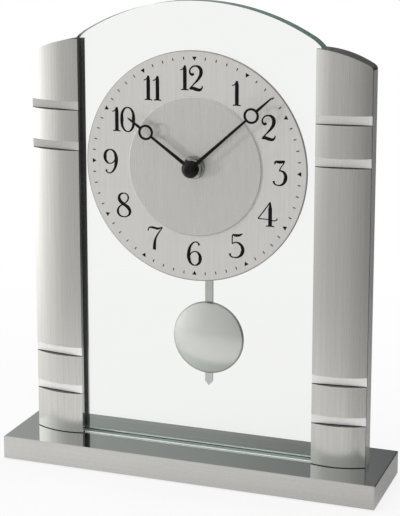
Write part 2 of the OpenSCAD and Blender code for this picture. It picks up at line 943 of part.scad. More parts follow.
module contact_positive() {
    color("silver")
        union() {
            block(inner_half - leaf_t, inner_half, battery_y - leaf_w / 2, battery_y + leaf_w / 2,
                  battery_z - leaf_h / 2, battery_z + leaf_h / 2);
            translate([battery_len / 2 + contact_gap, battery_y, shaft_z + battery_z])
                rotate([0, 90, 0])
                    cylinder(r1 = 1.6, r2 = 2.4, h = contact_reach + eps);
        }
}

module contact_negative() {
    color("silver")
        union() {
            block(-inner_half, -inner_half + leaf_t, battery_y - leaf_w / 2, battery_y + leaf_w / 2,
                  battery_z - leaf_h / 2, battery_z + leaf_h / 2);
            translate([-inner_half + leaf_t - eps, battery_y, shaft_z + battery_z])
                rotate([0, 90, 0])
                    cylinder(r1 = 3.6, r2 = 2.2, h = contact_reach + eps);
        }
}

// Pendulum

module pendulum_coil() {
    color("peru")
        difference() {
            union() {
                bar(drive_coil_r, drive_coil_front, drive_coil_front + 0.6, [0, drive_z]);
                bar(drive_coil_r - 0.6, drive_coil_front, drive_coil_back, [0, drive_z]);
                bar(drive_coil_r, drive_coil_back - 0.6, drive_coil_back, [0, drive_z]);
            }
            bore(drive_core_r, drive_coil_front, drive_coil_back, [0, drive_z]);
        }
}

module pivot_pin() {
    color("silver")
        bar(pin_r, inner_front + pin_seat, cover_front + pin_end, [0, pivot_z]);
}

module pendulum_hanger() {
    color("white")
        difference() {
            union() {
                bar(eye_r, hanger_front, hanger_back, [0, pivot_z]);
                block(-hanger_w / 2, hanger_w / 2, hanger_front, hanger_back, hook_z - hanger_w / 2, pivot_z);
                bar(drive_magnet_r + magnet_rim, hanger_front, hanger_back, [0, drive_z]);
                bar(hook_r, hanger_back - eps, hook_end, [0, hook_z]);
                bar(hook_r + hook_lip, hook_end - hook_head, hook_end, [0, hook_z]);
            }
            bore(pin_r + run_fit, hanger_front, hanger_back, [0, pivot_z]);
        }
}

module hanger_magnet() {
    color("darkslategray")
        bar(drive_magnet_r, hanger_front - drive_magnet_t, hanger_front, [0, drive_z]);
}

module pendulum_rod() {
    color("silver")
        difference() {
            union() {
                block(-rod_w / 2, rod_w / 2, rod_front, rod_back, tail_end + tip_h, hook_z + rod_eye);
                drawn(rod_front, rod_back)
                    polygon([[-rod_w / 2, tail_end + tip_h + eps], [0, tail_end],
                             [rod_w / 2, tail_end + tip_h + eps]]);
            }
            bore(hook_r, rod_front, rod_back, [0, hook_z]);
        }
}

// A shallow dome in front of a flat rim
module pendulum_bob() {
    dome_h = bob_t - bob_rim;
    dome_r = (bob_r * bob_r + dome_h * dome_h) / (2 * dome_h);
    color("gainsboro")
        union() {
            bar(bob_r, rod_front - bob_rim, rod_front, [0, bob_z]);
            intersection() {
                bar(bob_r, rod_front - bob_t - 1, rod_front - bob_rim + eps, [0, bob_z]);
                translate([0, rod_front - bob_t + dome_r, shaft_z + bob_z])
                    sphere(r = dome_r, $fn = 120);
            }
        }
}

module bob_clip() {
    color("silver")
        difference() {
            block(-rod_w, rod_w, rod_front, rod_back + clip_t, bob_z - rod_w, bob_z + rod_w);
            block(-rod_w / 2, rod_w / 2, rod_front - eps, rod_back, bob_z - rod_w - eps, bob_z + rod_w + eps);
        }
}

base_slab();
foot_pads();
left_pillar();
right_pillar();
pillar_screws();
glass_panel();
dial_plate();
dial_centre_disc();
rubber_washer();
threaded_bushing();
brass_washer();
hex_nut();
movement_case();
movement_cover();
cover_screws();
train_plate();
centre_arbor();
minute_hand();
hub_cap();
hour_wheel();
hour_hand();
motion_wheel();
set_knob();
centre_wheel();
clutch_spring();
third_wheel();
fourth_wheel();
intermediate_wheel();
rotor();
stator();
drive_coil();
circuit_board();
quartz_crystal();
battery();
contact_positive();
contact_negative();
pendulum_coil();
pivot_pin();
pendulum_hanger();
hanger_magnet();
pendulum_rod();
pendulum_bob();
bob_clip();
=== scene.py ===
"""Desk pendulum clock: finishes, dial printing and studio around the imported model."""
import functools
import math

import bmesh
import bpy
from mathutils import Matrix, Vector


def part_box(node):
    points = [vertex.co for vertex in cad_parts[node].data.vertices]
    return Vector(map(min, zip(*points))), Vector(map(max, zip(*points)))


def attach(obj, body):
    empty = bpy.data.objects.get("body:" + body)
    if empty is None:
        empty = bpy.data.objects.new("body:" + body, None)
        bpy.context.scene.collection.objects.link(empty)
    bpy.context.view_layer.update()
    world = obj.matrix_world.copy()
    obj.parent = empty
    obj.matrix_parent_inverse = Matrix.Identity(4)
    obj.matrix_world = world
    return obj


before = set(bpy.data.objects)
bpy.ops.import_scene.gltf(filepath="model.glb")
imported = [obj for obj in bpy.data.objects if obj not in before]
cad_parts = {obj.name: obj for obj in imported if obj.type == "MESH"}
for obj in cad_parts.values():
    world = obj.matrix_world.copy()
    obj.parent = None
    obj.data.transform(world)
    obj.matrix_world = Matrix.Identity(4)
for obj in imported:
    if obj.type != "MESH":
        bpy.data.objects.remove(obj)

bl_info = {
    "name": "Desk pendulum clock",
    "version": (1, 0, 0),
    "blender": (4, 5, 0),
    "location": "View3D > Sidebar > Clock",
    "description": "Finishes, dial printing and studio for a desk pendulum clock",
    "category": "Object",
}

MM = 0.001
# How far past a face its mask reaches: on the base and the pane, and on a pillar
FACE_SLACK, SIDE_SLACK = 0.05 * MM, 0.02 * MM
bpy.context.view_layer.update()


def node_box(name):
    """Lowest and highest corner of a solid, in metres."""
    low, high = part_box(name)
    return Vector(low), Vector(high)


DIAL_LOW, DIAL_HIGH = node_box("dial_plate")
DIAL_CENTRE = (DIAL_LOW + DIAL_HIGH) / 2
DIAL_FRONT = DIAL_LOW.y
DISC_HIGH = node_box("dial_centre_disc")[1]
BASE_LOW, BASE_HIGH = node_box("base_slab")
PILLAR_LOW, PILLAR_HIGH = node_box("right_pillar")
PANE_LOW, PANE_HIGH = node_box("glass_panel")


# Sizes and colours that a user may change

def length(label, words, value, low, high):
    """A length property with its name, description, default and limits, given in millimetres."""
    return bpy.props.FloatProperty(
        name=label, description=words, default=value * MM, min=low * MM, max=high * MM, unit="LENGTH",
        precision=6)


class ClockSizes(bpy.types.PropertyGroup):
    numeral_height: length("Numeral height", "Height of a printed numeral", 12.0, 6, 15)
    numeral_ring: length("Numeral ring", "Radius of the ring that the numerals stand on", 42.0, 36, 46)
    mark_ring: length("Mark ring", "Radius of the ring of minute and hour marks", 51.9, 48, 54)
    tick_length: length("Minute mark length", "Length of a minute mark", 1.4, 0.8, 3)
    tick_width: length("Minute mark width", "Width of a minute mark", 0.5, 0.2, 1)
    triangle_side: length("Hour mark side", "Side of a triangular hour mark", 2.3, 1, 4)
    print_height: length("Print thickness", "Thickness of the printed ink", 0.03, 0.01, 0.1)


def colour(label, words, value):
    """A colour property with its name, description and default."""
    return bpy.props.FloatVectorProperty(
        name=label, description=words, default=value, size=3, min=0, max=1, subtype="COLOR")


class ClockColours(bpy.types.PropertyGroup):
    pillar_metal: colour("Pillar metal", "Brushed metal of the pillars", (0.8, 0.79, 0.76))
    base_metal: colour("Base metal", "Brushed metal of the base", (0.74, 0.73, 0.71))
    dial_ring: colour("Dial ring", "Satin silver of the dial's number ring", (0.62, 0.605, 0.585))
    dial_disc: colour("Dial centre", "Brushed silver of the dial's centre", (0.66, 0.65, 0.63))
    ink: colour("Ink", "Printed numerals and marks", (0.005, 0.005, 0.005))
    hands: colour("Hands", "Black lacquer of the hands and their cap", (0.004, 0.004, 0.004))
    glass: colour("Glass", "Tint that shows in the depth of the pane", (0.62, 0.93, 0.84))
    bob: colour("Pendulum", "Satin metal of the bob", (0.97, 0.96, 0.95))
    housing: colour("Movement housing", "Moulded plastic of the housing", (0.03, 0.03, 0.032))
    gears: colour("Wheels", "Moulded plastic of the wheels", (0.8, 0.79, 0.74))
    floor: colour("Floor", "Paper that the clock stands on", (0.9, 0.9, 0.9))


# Node helpers

class Nodes:
    """A few short calls for building one node tree."""

    def __init__(self, tree):
        self.tree = tree

    def add(self, kind, **values):
        node = self.tree.nodes.new(kind)
        for key, value in values.items():
            setattr(node, key, value)
        return node

    def link(self, source, target):
        self.tree.links.new(source, target)

    def put(self, value, socket):
        """Links a socket, or sets a plain value."""
        if isinstance(value, bpy.types.NodeSocket):
            self.link(value, socket)
        else:
            socket.default_value = value

    def maths(self, operation, a, b=0.0, c=None, clamp=False):
        node = self.add("ShaderNodeMath", operation=operation, use_clamp=clamp)
        self.put(a, node.inputs[0])
        self.put(b, node.inputs[1])
        if c is not None:
            self.put(c, node.inputs[2])
        return node.outputs[0]

    def above(self, value, limit):
        return self.maths("GREATER_THAN", value, limit)

    def below(self, value, limit):
        return self.maths("LESS_THAN", value, limit)

    def within(self, value, low, high):
        return self.all_of(self.above(value, low), self.below(value, high))

    def all_of(self, *masks):
        """Where every mask holds, as their product."""
        return functools.reduce(lambda a, b: self.maths("MULTIPLY", a, b), masks)

    def any_of(self, *masks):
        """Where one of the masks holds, as their maximum."""
        return functools.reduce(lambda a, b: self.maths("MAXIMUM", a, b), masks)

    def outside(self, mask):
        """Where a mask doesn't hold."""
        return self.maths("SUBTRACT", 1.0, mask)

    def fit(self, value, low, high, to_low=0.0, to_high=1.0):
        """Moves a range of values onto another, and holds what lies beyond it at its ends."""
        node = self.add("ShaderNodeMapRange", clamp=True)
        self.put(value, node.inputs["Value"])
        for name, number in (("From Min", low), ("From Max", high), ("To Min", to_low), ("To Max", to_high)):
            self.put(number, node.inputs[name])
        return node.outputs["Result"]

    def blend(self, factor, a, b, mode="MIX"):
        node = self.add("ShaderNodeMix", data_type="RGBA", blend_type=mode)
        self.put(factor, node.inputs[0])
        self.put(opaque(a), node.inputs[6])
        self.put(opaque(b), node.inputs[7])
        return node.outputs[2]

    def between(self, factor, a, b):
        """A number that goes from a to b with the factor."""
        node = self.add("ShaderNodeMix", data_type="FLOAT")
        for index, value in ((0, factor), (2, a), (3, b)):
            self.put(value, node.inputs[index])
        return node.outputs[0]

    def noise(self, vector, scale, detail=2.0, roughness=0.5):
        node = self.add("ShaderNodeTexNoise")
        self.put(vector, node.inputs["Vector"])
        for name, number in (("Scale", scale), ("Detail", detail), ("Roughness", roughness)):
            node.inputs[name].default_value = number
        return node.outputs["Fac"]

    def stretched(self, vector, scale):
        """The same place with each axis at its own scale."""
        node = self.add("ShaderNodeMapping", vector_type="POINT")
        self.put(vector, node.inputs["Vector"])
        node.inputs["Scale"].default_value = scale
        return node.outputs["Vector"]

    def place(self):
        return self.add("ShaderNodeTexCoord").outputs["Object"]

    def split(self, vector):
        node = self.add("ShaderNodeSeparateXYZ")
        self.put(vector, node.inputs[0])
        return node.outputs


def opaque(value):
    """A colour of three numbers gets its fourth."""
    if isinstance(value, bpy.types.NodeSocket):
        return value
    value = tuple(value)
    return value if len(value) == 4 else value + (1.0,)


def shade(rgb, factor):
    """The colour made darker, or lighter up to white."""
    return tuple(min(1.0, part * factor) for part in rgb)


def new_group(name, inputs, outputs):
    """An empty shader node group with named sockets. Returns (tree, nodes, first node, last node)."""
    tree = bpy.data.node_groups.new(name, "ShaderNodeTree")
    for label, kind, value in inputs:
        socket = tree.interface.new_socket(label, in_out="INPUT", socket_type=kind)
        if value is not None:
            socket.default_value = value
    for label, kind in outputs:
        tree.interface.new_socket(label, in_out="OUTPUT", socket_type=kind)
    n = Nodes(tree)
    return tree, n, n.add("NodeGroupInput"), n.add("NodeGroupOutput")


FLOAT, VECTOR, RGBA = "NodeSocketFloat", "NodeSocketVector", "NodeSocketColor"


def brushed_grain():
    """Fine parallel brush lines with wider streaks. The vector arrives already stretched."""
    found = bpy.data.node_groups.get("Brushed grain")
    if found:
        return found
    tree, n, start, end = new_group(
        "Brushed grain",
        [("Vector", VECTOR, None), ("Light", RGBA, (0.8, 0.8, 0.8, 1)), ("Dark", RGBA, (0.6, 0.6, 0.6, 1)),
         ("Smooth", FLOAT, 0.25), ("Rough", FLOAT, 0.4)],
        [("Color", RGBA), ("Roughness", FLOAT), ("Height", FLOAT)])
    fine = n.noise(start.outputs["Vector"], 6.0, 3.0, 0.6)
    wide = n.noise(start.outputs["Vector"], 1.1, 2.0, 0.5)
    both = n.maths("ADD", n.maths("MULTIPLY", fine, 0.6), n.maths("MULTIPLY", wide, 0.4))
    spread = n.fit(both, 0.36, 0.64)
    n.link(n.blend(spread, start.outputs["Dark"], start.outputs["Light"]), end.inputs["Color"])
    n.link(n.between(spread, start.outputs["Rough"], start.outputs["Smooth"]), end.inputs["Roughness"])
    n.link(fine, end.inputs["Height"])
    return tree


def handled_surface():
    """Faint smudges and dust from handling, as a mask."""
    found = bpy.data.node_groups.get("Handled surface")
    if found:
        return found
    tree, n, start, end = new_group(
        "Handled surface",
        [("Vector", VECTOR, None), ("Amount", FLOAT, 0.5)],
        [("Mask", FLOAT)])
    cloud = n.noise(start.outputs["Vector"], 38.0, 3.0, 0.55)
    specks = n.noise(start.outputs["Vector"], 900.0, 2.0, 0.6)
    mask = n.maths("ADD", n.fit(cloud, 0.45, 0.75, 0.0, 0.8), n.fit(specks, 0.6, 0.8, 0.0, 0.4))
    n.link(n.maths("MULTIPLY", mask, start.outputs["Amount"], clamp=True), end.inputs["Mask"])
    return tree


def moulded_grain():
    """Spark-eroded texture of moulded plastic, with uneven colour."""
    found = bpy.data.node_groups.get("Moulded grain")
    if found:
        return found
    tree, n, start, end = new_group(
        "Moulded grain",
        [("Vector", VECTOR, None), ("Color", RGBA, (0.5, 0.5, 0.5, 1)), ("Scale", FLOAT, 1.0)],
        [("Color", RGBA), ("Roughness", FLOAT), ("Height", FLOAT)])
    vector = n.add("ShaderNodeVectorMath", operation="SCALE")
    n.link(start.outputs["Vector"], vector.inputs[0])
    n.link(start.outputs["Scale"], vector.inputs["Scale"])
    cloud = n.noise(vector.outputs[0], 60.0, 3.0)
    pits = n.noise(vector.outputs[0], 2600.0, 2.0)
    dark = n.blend(1.0, start.outputs["Color"], (0.72, 0.72, 0.72, 1), "MULTIPLY")
    n.link(n.blend(n.fit(cloud, 0.35, 0.65), start.outputs["Color"], dark), end.inputs["Color"])
    n.link(n.fit(cloud, 0.3, 0.7, 0.42, 0.6), end.inputs["Roughness"])
    n.link(pits, end.inputs["Height"])
    return tree


# Brightness of the studio that metal mirrors, by compass turn: 0 is straight in front, a quarter is its right
SURROUND_STOPS = ((-0.5, 0.015), (-0.47, 0.035), (-0.445, 0.18), (-0.4, 0.35), (-0.33, 0.6), (-0.24, 1.0),
                  (-0.2, 0.94), (-0.145, 0.62), (-0.1, 0.455), (-0.06, 0.335), (0.035, 0.28), (0.115, 0.17),
                  (0.19, 0.08), (0.28, 0.04), (0.44, 0.02), (0.5, 0.03))
SURROUND_LEVEL = 1.6
# A little less blue than red and green
SURROUND_BLUE = 0.985


def studio_surround():
    """Soft studio: light from the left, dark flags at the right and behind."""
    found = bpy.data.node_groups.get("Studio surround")
    if found:
        return found
    tree, n, start, end = new_group("Studio surround", [("Vector", VECTOR, None)], [("Color", RGBA)])
    x, y, _ = n.split(start.outputs["Vector"])
    turn = n.maths("ARCTAN2", x, n.maths("MULTIPLY", y, -1.0))
    ramp = n.add("ShaderNodeValToRGB")
    n.link(n.maths("MULTIPLY_ADD", turn, 0.5 / math.pi, 0.5), ramp.inputs[0])
    stops = ramp.color_ramp.elements
    for index, (turned, value) in enumerate(SURROUND_STOPS):
        stop = stops[index] if index < 2 else stops.new(turned + 0.5)
        stop.position = turned + 0.5
        stop.color = (value, value, value * SURROUND_BLUE, 1)
    level = n.add("ShaderNodeVectorMath", operation="SCALE")
    n.link(ramp.outputs["Color"], level.inputs[0])
    level.inputs["Scale"].default_value = SURROUND_LEVEL
    n.link(level.outputs[0], end.inputs["Color"])
    return tree


def use(n, tree, **values):
    """Adds a node group with its values set or linked. Returns its outputs."""
    node = n.add("ShaderNodeGroup", node_tree=tree)
    for name, value in values.items():
        n.put(opaque(value) if name in ("Color", "Light", "Dark") else value, node.inputs[name])
    return node.outputs


def empty_tree(owner):
    """Empties the node tree of a new material or world. Returns its helper."""
    owner.use_nodes = True
    owner.node_tree.nodes.clear()
    return Nodes(owner.node_tree)


def new_material(name):
    """A material with a Principled surface. Returns (material, nodes, shader)."""
    material = bpy.data.materials.new(name)
    n = empty_tree(material)
    shader = n.add("ShaderNodeBsdfPrincipled")
    n.link(shader.outputs["BSDF"], n.add("ShaderNodeOutputMaterial").inputs["Surface"])
    return material, n, shader


def bump(n, shader, height, strength, distance):
    """Gives a surface a fine relief."""
    node = n.add("ShaderNodeBump")
    node.inputs["Strength"].default_value = strength
    node.inputs["Distance"].default_value = distance
    n.put(height, node.inputs["Height"])
    n.link(node.outputs["Normal"], shader.inputs["Normal"])


# Scale of the brush lines along each axis: a small number draws them out that way
BRUSH_UP = (900.0, 900.0, 9.0)
BRUSH_ALONG = (5.0, 1400.0, 1400.0)
BRUSH_BOB = (2200.0, 2200.0, 60.0)
BRUSH_DIAL = (1300.0, 1300.0, 16.0)
BRUSH_DISC = (1500.0, 1500.0, 14.0)


def brushed_metal(name, rgb, stretch, smooth, rough, contrast, polish=None, polished=0.05, polish_tint=None,
                  inlay=None):
    """Brushed metal. polish(n, place) may return a mask of the polished faces.
    inlay(n, place) may return a mask and a colour of faces with a matt finish, in painted light and shade."""
    material, n, shader = new_material(name)
    place = n.place()
    grain = use(n, brushed_grain(), Vector=n.stretched(place, stretch), Light=rgb,
                Dark=shade(rgb, contrast), Smooth=smooth, Rough=rough)
    smudge = use(n, handled_surface(), Vector=place, Amount=0.5)["Mask"]
    tint, roughness, height = grain["Color"], grain["Roughness"], grain["Height"]
    if polish:
        mask = polish(n, place)
        tint = n.blend(mask, tint, polish_tint or shade(rgb, 0.9))
        shiny = n.maths("MULTIPLY_ADD", smudge, 0.04, polished)
        roughness = n.between(mask, roughness, shiny)
        height = n.all_of(height, n.outside(mask))
    else:
        roughness = n.maths("MULTIPLY_ADD", smudge, 0.06, roughness)
    if inlay:
        matt, matt_painted_light = inlay(n, place)
        tint = n.blend(matt, tint, matt_painted_light)
        n.link(n.fit(matt, 0.0, 1.0, 1.0, 0.25), shader.inputs["Metallic"])
    else:
        shader.inputs["Metallic"].default_value = 1.0
    n.put(tint, shader.inputs["Base Color"])
    n.put(roughness, shader.inputs["Roughness"])
    bump(n, shader, height, 0.12, 0.03 * MM)
    return material


def from_centre(n, place, centre_height):
    """Distance across a round plate from its centre."""
    x, _, z = n.split(place)
    rise = n.maths("SUBTRACT", z, centre_height)
    return n.maths("SQRT", n.maths("ADD", n.maths("MULTIPLY", x, x), n.maths("MULTIPLY", rise, rise)))


def round_edge(n, shader, height, strength, distance, radius, width, centre_height=DIAL_CENTRE.z):
    """Rolls the edge of a round plate, under its fine relief. Returns a mask, 1 inside and 0 at the rim."""
    inner = n.fit(from_centre(n, n.place(), centre_height), radius - width, radius, 1.0, 0.0)
    fine = n.add("ShaderNodeBump")
    fine.inputs["Strength"].default_value = strength
    fine.inputs["Distance"].default_value = distance
    n.put(height, fine.inputs["Height"])
    roll = n.add("ShaderNodeBump")
    roll.inputs["Strength"].default_value = 1.0
    roll.inputs["Distance"].default_value = width
    n.put(inner, roll.inputs["Height"])
    n.link(fine.outputs["Normal"], roll.inputs["Normal"])
    n.link(roll.outputs["Normal"], shader.inputs["Normal"])
    return inner


def bob_metal(name, rgb):
    """Satin dome with a rolled rim in painted shade."""
    material, n, shader = new_material(name)
    low, high = node_box("pendulum_bob")
    grain = use(n, brushed_grain(), Vector=n.stretched(n.place(), BRUSH_BOB), Light=rgb,
                Dark=shade(rgb, 0.97), Smooth=0.2, Rough=0.26)
    inner = round_edge(n, shader, grain["Height"], 0.02, 0.03 * MM, high.x, 0.7 * MM, (low.z + high.z) / 2)
    # Painted shade on the rim
    n.link(n.blend(inner, shade(rgb, 0.6), grain["Color"]), shader.inputs["Base Color"])
    n.link(grain["Roughness"], shader.inputs["Roughness"])
    shader.inputs["Metallic"].default_value = 0.8
    return material


def plain_metal(name, rgb, rough=0.3):
    """Turned or plated metal with a faint handled look."""
    material, n, shader = new_material(name)
    place = n.place()
    smudge = use(n, handled_surface(), Vector=place, Amount=0.8)["Mask"]
    n.link(n.blend(smudge, rgb, shade(rgb, 0.8)), shader.inputs["Base Color"])
    n.link(n.maths("MULTIPLY_ADD", smudge, 0.12, rough), shader.inputs["Roughness"])
    shader.inputs["Metallic"].default_value = 1.0
    bump(n, shader, n.noise(place, 1500.0, 2.0), 0.08, 0.02 * MM)
    return material


def plastic(name, rgb, scale=1.0):
    """Moulded plastic. A larger scale makes its texture finer."""
    material, n, shader = new_material(name)
    grain = use(n, moulded_grain(), Vector=n.place(), Color=rgb, Scale=scale)
    n.link(grain["Color"], shader.inputs["Base Color"])
    n.link(grain["Roughness"], shader.inputs["Roughness"])
    bump(n, shader, grain["Height"], 0.15, 0.04 * MM)
    return material


def lacquer(name, rgb, rough=0.3, shine=0.5):
    """Satin lacquer or ink with slight unevenness."""
    material, n, shader = new_material(name)
    shader.inputs["Specular IOR Level"].default_value = shine
    place = n.place()
    cloud = n.noise(place, 120.0, 3.0)
    n.link(n.blend(n.fit(cloud, 0.3, 0.7), rgb, shade(rgb, 1.6)), shader.inputs["Base Color"])
    n.link(n.fit(cloud, 0.3, 0.7, rough, rough + 0.12), shader.inputs["Roughness"])
    bump(n, shader, n.noise(place, 2200.0, 2.0), 0.1, 0.02 * MM)
    return material


def rubber(name, rgb):
    """Dull black rubber."""
    material, n, shader = new_material(name)
    place = n.place()
    cloud = n.noise(place, 200.0, 3.0)
    n.link(n.blend(n.fit(cloud, 0.3, 0.7), rgb, shade(rgb, 1.8)), shader.inputs["Base Color"])
    n.link(n.fit(cloud, 0.3, 0.7, 0.7, 0.85), shader.inputs["Roughness"])
    bump(n, shader, n.noise(place, 1800.0, 2.0), 0.3, 0.05 * MM)
    return material


CLEAN_GLASS, SMUDGED_GLASS = (0.96, 0.948, 0.938), (0.945, 0.934, 0.924)
GLASS_SHADOW = (0.9, 0.93, 0.92, 1)
GLASS_DENSITY = 9.0
# How much of the pane's cut edge gets painted light, a diffuse green for light run through the glass, and the
# shades of its clear part and of that painted light
EDGE_LIGHT_AMOUNT, EDGE_CLEAR_SHADE, EDGE_LIGHT_TONE = 0.35, 0.75, 0.45


def pane_glass(name, tint):
    """Clear float glass, green at its cut edge, partly from its tint and partly from painted light, and where
    light runs a long way through it.
    """
    material, n, shader = new_material(name)
    place = n.place()
    smudge = use(n, handled_surface(), Vector=place, Amount=0.3)["Mask"]
    faces = n.blend(smudge, CLEAN_GLASS, SMUDGED_GLASS)
    cut_edge = n.below(n.maths("ABSOLUTE", n.split(place)[1]), PANE_HIGH.y - FACE_SLACK)
    n.link(n.blend(cut_edge, faces, shade(tint, EDGE_CLEAR_SHADE)), shader.inputs["Base Color"])
    n.link(n.maths("MULTIPLY", smudge, 0.012), shader.inputs["Roughness"])
    shader.inputs["Metallic"].default_value = 0.0
    shader.inputs["Transmission Weight"].default_value = 1.0
    shader.inputs["IOR"].default_value = 1.5
    output = next(node for node in material.node_tree.nodes if node.type == "OUTPUT_MATERIAL")
    clear = n.add("ShaderNodeBsdfTransparent")
    clear.inputs["Color"].default_value = GLASS_SHADOW
    # Painted light: a diffuse green on the cut edge
    edge_light = n.add("ShaderNodeBsdfDiffuse")
    edge_light.inputs["Color"].default_value = opaque(shade(tint, EDGE_LIGHT_TONE))
    edge = n.add("ShaderNodeMixShader")
    n.link(n.maths("MULTIPLY", cut_edge, EDGE_LIGHT_AMOUNT), edge.inputs[0])
    n.link(shader.outputs["BSDF"], edge.inputs[1])
    n.link(edge_light.outputs[0], edge.inputs[2])
    mix = n.add("ShaderNodeMixShader")
    n.link(n.add("ShaderNodeLightPath").outputs["Is Shadow Ray"], mix.inputs[0])
    n.link(edge.outputs[0], mix.inputs[1])
    n.link(clear.outputs[0], mix.inputs[2])
    n.link(mix.outputs[0], output.inputs["Surface"])
    depth = n.add("ShaderNodeVolumeAbsorption")
    depth.inputs["Color"].default_value = opaque(tint)
    depth.inputs["Density"].default_value = GLASS_DENSITY
    n.link(depth.outputs[0], output.inputs["Volume"])
    return material


WIRE = 0.25 * MM


def winding(name, rgb, axis):
    """Enamelled wire wound round an axis, as fine rings along it, with painted shade in the grooves between
    turns.
    """
    material, n, shader = new_material(name)
    place = n.place()
    along = n.split(place)[axis]
    rings = n.maths("SINE", n.maths("MULTIPLY", along, 2 * math.pi / WIRE))
    groove = n.fit(rings, -1.0, 1.0)
    # Painted shade in the grooves between turns
    n.link(n.blend(groove, shade(rgb, 0.35), rgb), shader.inputs["Base Color"])
    n.link(n.fit(n.noise(place, 300.0), 0.3, 0.7, 0.25, 0.4), shader.inputs["Roughness"])
    shader.inputs["Metallic"].default_value = 0.8
    bump(n, shader, groove, 0.5, 0.06 * MM)
    return material


def circuit(name, rgb):
    """Lacquered board with a pattern of tracks under the lacquer."""
    material, n, shader = new_material(name)
    place = n.place()
    tracks = n.add("ShaderNodeTexBrick")
    n.link(n.stretched(place, (400.0, 400.0, 400.0)), tracks.inputs["Vector"])
    tracks.inputs["Mortar Size"].default_value = 0.03
    mask = tracks.outputs["Fac"]
    n.link(n.blend(mask, rgb, shade(rgb, 2.2)), shader.inputs["Base Color"])
    n.link(n.fit(n.noise(place, 300.0), 0.3, 0.7, 0.3, 0.45), shader.inputs["Roughness"])
    bump(n, shader, mask, 0.3, 0.03 * MM)
    return material


# Lengths along a dry cell: its shoulder with the terminal, the terminal alone, and the rim at the other end
SHOULDER, TERMINAL, CELL_RIM = 13.5 * MM, 2.2 * MM, 0.8 * MM


def cell_sleeve(name):
    """Shrink sleeve of a dry cell: dark body, a copper-coloured shoulder and bare metal ends."""
    material, n, shader = new_material(name)
    low, high = node_box("battery")
    place = n.place()
    x = n.split(place)[0]
    cloud = n.noise(place, 90.0, 2.0)
    shoulder = n.above(x, high.x - SHOULDER)
    ends = n.any_of(n.above(x, high.x - TERMINAL), n.below(x, low.x + CELL_RIM))
    body = n.blend(n.fit(cloud, 0.3, 0.7), (0.02, 0.02, 0.022), (0.04, 0.04, 0.042))
    body = n.blend(shoulder, body, (0.62, 0.33, 0.14))
    n.link(n.blend(ends, body, (0.75, 0.75, 0.74)), shader.inputs["Base Color"])
    n.link(n.fit(ends, 0.0, 1.0, 0.15, 0.95), shader.inputs["Metallic"])
    n.link(n.fit(cloud, 0.3, 0.7, 0.2, 0.3), shader.inputs["Roughness"])
    bump(n, shader, n.noise(place, 700.0), 0.08, 0.03 * MM)
    return material


def dial_paint(name, rgb):
    """Satin silver of the number ring, faintly brushed, with painted shade on its rim."""
    material, n, shader = new_material(name)
    grain = use(n, brushed_grain(), Vector=n.stretched(n.place(), BRUSH_DIAL), Light=shade(rgb, 1.03),
                Dark=shade(rgb, 0.94), Smooth=0.42, Rough=0.55)
    inner = round_edge(n, shader, grain["Height"], 0.05, 0.02 * MM, DIAL_HIGH.x, 0.5 * MM)
    # Painted shade on the rim
    n.link(n.blend(inner, shade(rgb, 0.55), grain["Color"]), shader.inputs["Base Color"])
    n.link(grain["Roughness"], shader.inputs["Roughness"])
    shader.inputs["Metallic"].default_value = 0.25
    return material


def dial_metal(name, rgb):
    """Upright brush of the dial's centre disc, with a painted highlight on its rim."""
    material, n, shader = new_material(name)
    grain = use(n, brushed_grain(), Vector=n.stretched(n.place(), BRUSH_DISC), Light=rgb,
                Dark=shade(rgb, 0.88), Smooth=0.26, Rough=0.4)
    inner = round_edge(n, shader, grain["Height"], 0.12, 0.03 * MM, DISC_HIGH.x, 0.45 * MM)
    # Painted highlight on the rim
    n.link(n.blend(inner, shade(rgb, 1.45), grain["Color"]), shader.inputs["Base Color"])
    n.link(grain["Roughness"], shader.inputs["Roughness"])
    shader.inputs["Metallic"].default_value = 0.55
    return material


# Polished and matt faces, and painted light and shade on them, found by where they lie on the solid

# Heights of the feet of the four bands that the pillars have
BAND_FEET = (32.55 * MM, 52.05 * MM, 156.15 * MM, 175.95 * MM)
BAND_TALL = 4.5 * MM
# The ledge under each band, and the pillar's foot, get painted shade
LEDGE_UNDER, LEDGE_OVER = 0.05 * MM, 0.22 * MM
FOOT_SHADOW = 0.35 * MM
SLOT_ROOM = 0.3 * MM
PILLAR_BACK = PILLAR_HIGH.y - 0.1 * MM
# The front of a pillar's outer side, up to here, is a dark corner of painted shade
SHADED_CORNER_END = -2.46 * MM
CORNER_PAINTED_SHADE, LEDGE_PAINTED_SHADE = (0.05, 0.05, 0.05), (0.02, 0.02, 0.02)
# Painted highlight: the bands are lighter near the base, from the first of these heights to the second
FADE_LOW, FADE_HIGH = 60 * MM, 150 * MM
# Painted highlight on the lower bands, painted shade on the left pillar's bands and painted light on the
# right's
LOWER_BAND_HIGHLIGHT = (0.86, 0.855, 0.84)
LEFT_BAND_SHADE, RIGHT_BAND_LIGHT = (0.5, 0.495, 0.48), (0.76, 0.755, 0.735)
# Painted shade on the left pillar's outer side and painted light on the right's
LEFT_FLANK_SHADE, RIGHT_FLANK_LIGHT = (0.35, 0.35, 0.34), (0.6, 0.6, 0.58)


def pillar_sides(n, place):
    """The two flat sides of a pillar."""
    side = n.maths("ABSOLUTE", n.split(place)[0])
    return n.any_of(n.below(side, PILLAR_LOW.x + SIDE_SLACK), n.above(side, PILLAR_HIGH.x - SIDE_SLACK))


